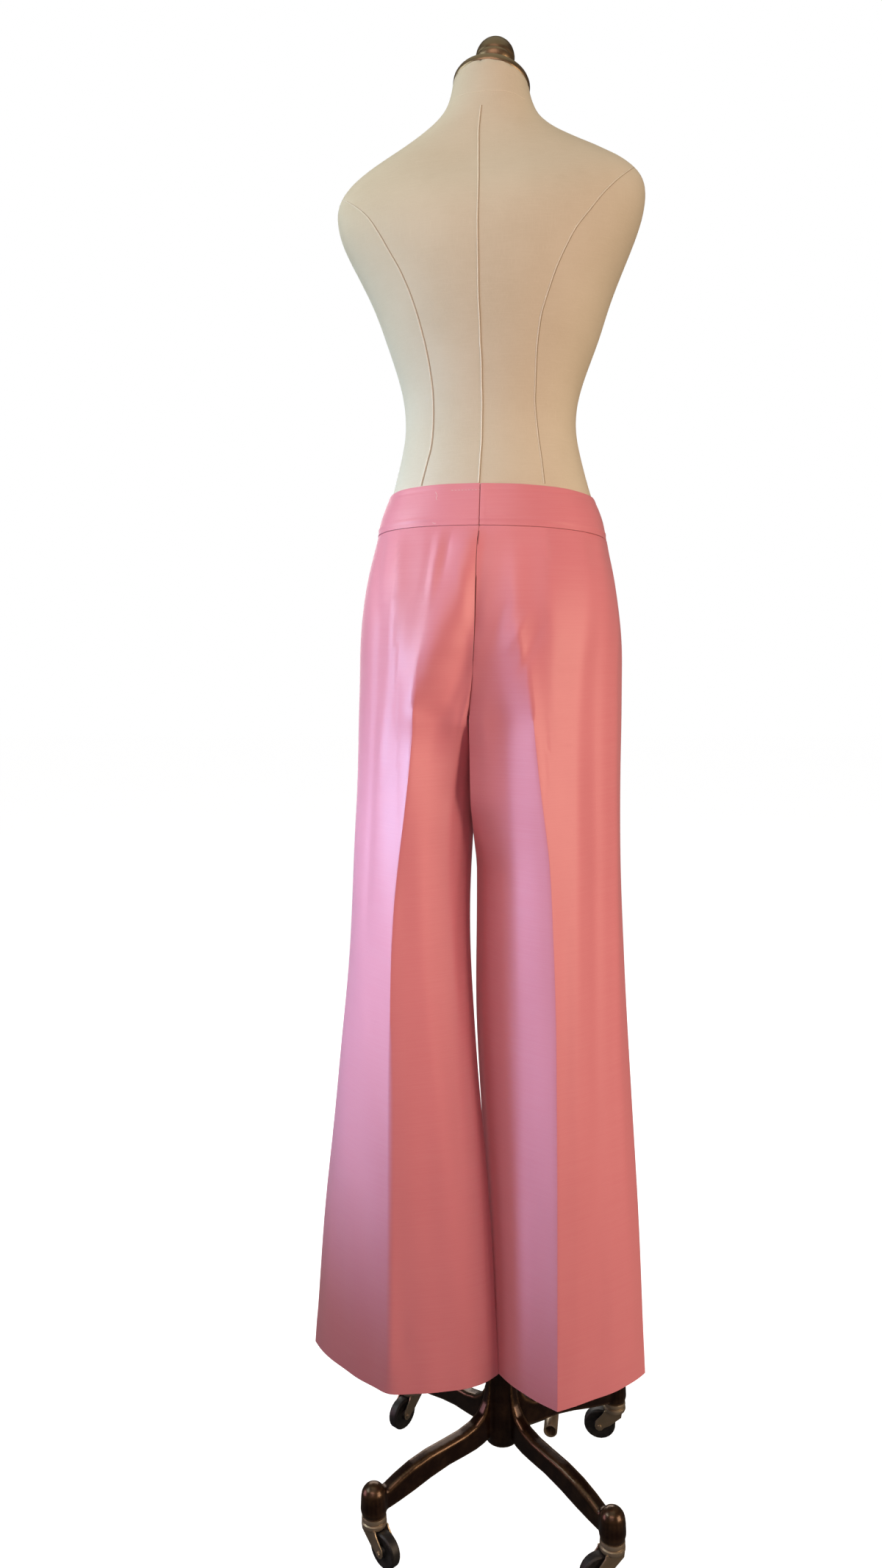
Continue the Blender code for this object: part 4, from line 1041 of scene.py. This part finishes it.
bm = lathe(CAP_PROFILE, CAP_SEGMENTS)
neck_tilt = Matrix.Rotation(-NECK_ROLL, 4, "Y") @ Matrix.Rotation(NECK_SLOPE, 4, "X")
bmesh.ops.transform(bm, verts=bm.verts, matrix=Matrix.Translation(NECK_MIDDLE) @ neck_tilt)
cap = finish_bmesh(bm, "neck_cap_bronze", BRONZE, "form")
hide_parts("neck_cap")
print("cap faces", len(cap.data.polygons))

# %% [markdown]
# ## The cast base
# A casting has no sharp inner corners: metal flows into fillets.  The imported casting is
# copied, remeshed into small even cubes and relaxed, which rounds every corner the way a
# sand mould does.

# %% Make the casting
VOXEL = 0.0016
RELAX_STEPS = 10


def cast_copy(node, name):
    """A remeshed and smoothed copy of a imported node."""
    result = finished_mesh(rough_mesh(merged_copy(node), name), name,
                           [("REMESH", {"mode": "VOXEL", "voxel_size": VOXEL}),
                            ("SMOOTH", {"factor": 0.5, "iterations": RELAX_STEPS})])
    result.shade_smooth()
    return result


base = link_mesh("base_iron", cast_copy("base_casting", "base_iron"), IRON, "base")
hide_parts("base_casting")
print("base faces", len(base.data.polygons))

# %% [markdown]
# ## Pedal, pole, forks and wheels
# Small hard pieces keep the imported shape.  A copy with a narrow bevel on its corners
# catches the light along them, which is what makes metal read as metal.

# %% Make the small hard pieces
CORNER_ANGLE = math.radians(38)
FLAT_ANGLE = math.radians(1.5)


def bevelled_copy(node, name, material, body, width):
    """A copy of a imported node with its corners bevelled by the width."""
    bm = merged_copy(node)
    bmesh.ops.dissolve_limit(bm, angle_limit=FLAT_ANGLE, verts=bm.verts, edges=bm.edges)
    bevel_corners(bm, CORNER_ANGLE, width, 3)
    piece = finish_bmesh(bm, name, material, body)
    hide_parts(node)
    return piece


bevelled_copy("pedal", "pedal_iron", BRASS, "pedal", 0.0004)
NODES["pole"].data.materials.clear()
NODES["pole"].data.materials.append(STEEL)
for corner in ("back_left", "back_right", "front_left", "front_right"):
    fork, wheel = f"fork_{corner}", f"wheel_{corner}"
    bevelled_copy(fork, f"{fork}_brass", BRASS, f"swivel_{corner}", 0.0003)
    bevelled_copy(wheel, f"{wheel}_black", WHEEL, f"roller_{corner}", 0.0006)

# %% [markdown]


# %% [markdown]
# ## Floor
# A plain pale floor carries the wheels.  It glows a little, so that it stays as white as
# the paper behind it and only the shadows under the stand show.

# %% Floor
FLOOR_HALF = 12.0
FLOOR_BELOW = 0.0002     # a hair under the wheels
FLOOR_GLOW = 0.96
bm = bmesh.new()
bmesh.ops.create_grid(bm, x_segments=1, y_segments=1, size=FLOOR_HALF)
bmesh.ops.translate(bm, verts=bm.verts, vec=(POLE.x, POLE.y, -FLOOR_BELOW))
floor_mesh = bpy.data.meshes.new("floor")
bm.to_mesh(floor_mesh)
bm.free()
floor = bpy.data.objects.new("floor", floor_mesh)
bpy.context.scene.collection.objects.link(floor)
floor_finish, floor_tree, floor_shader, floor_place = new_material("pale_floor", 0.9)
floor_cloud = noise(floor_tree, floor_place, 1.2, 2.0)
floor_tree.links.new(ramp(floor_tree, floor_cloud, ((0.3, (0.56, 0.56, 0.56)), (0.7, (0.60, 0.60, 0.60)))),
                     floor_shader.inputs["Base Color"])
floor_shader.inputs["Emission Color"].default_value = (1.0, 1.0, 1.0, 1.0)
floor_shader.inputs["Emission Strength"].default_value = FLOOR_GLOW
floor.visible_diffuse = False      # its glow doesn't light the cloth from below
floor.visible_glossy = False
floor_mesh.materials.append(floor_finish)
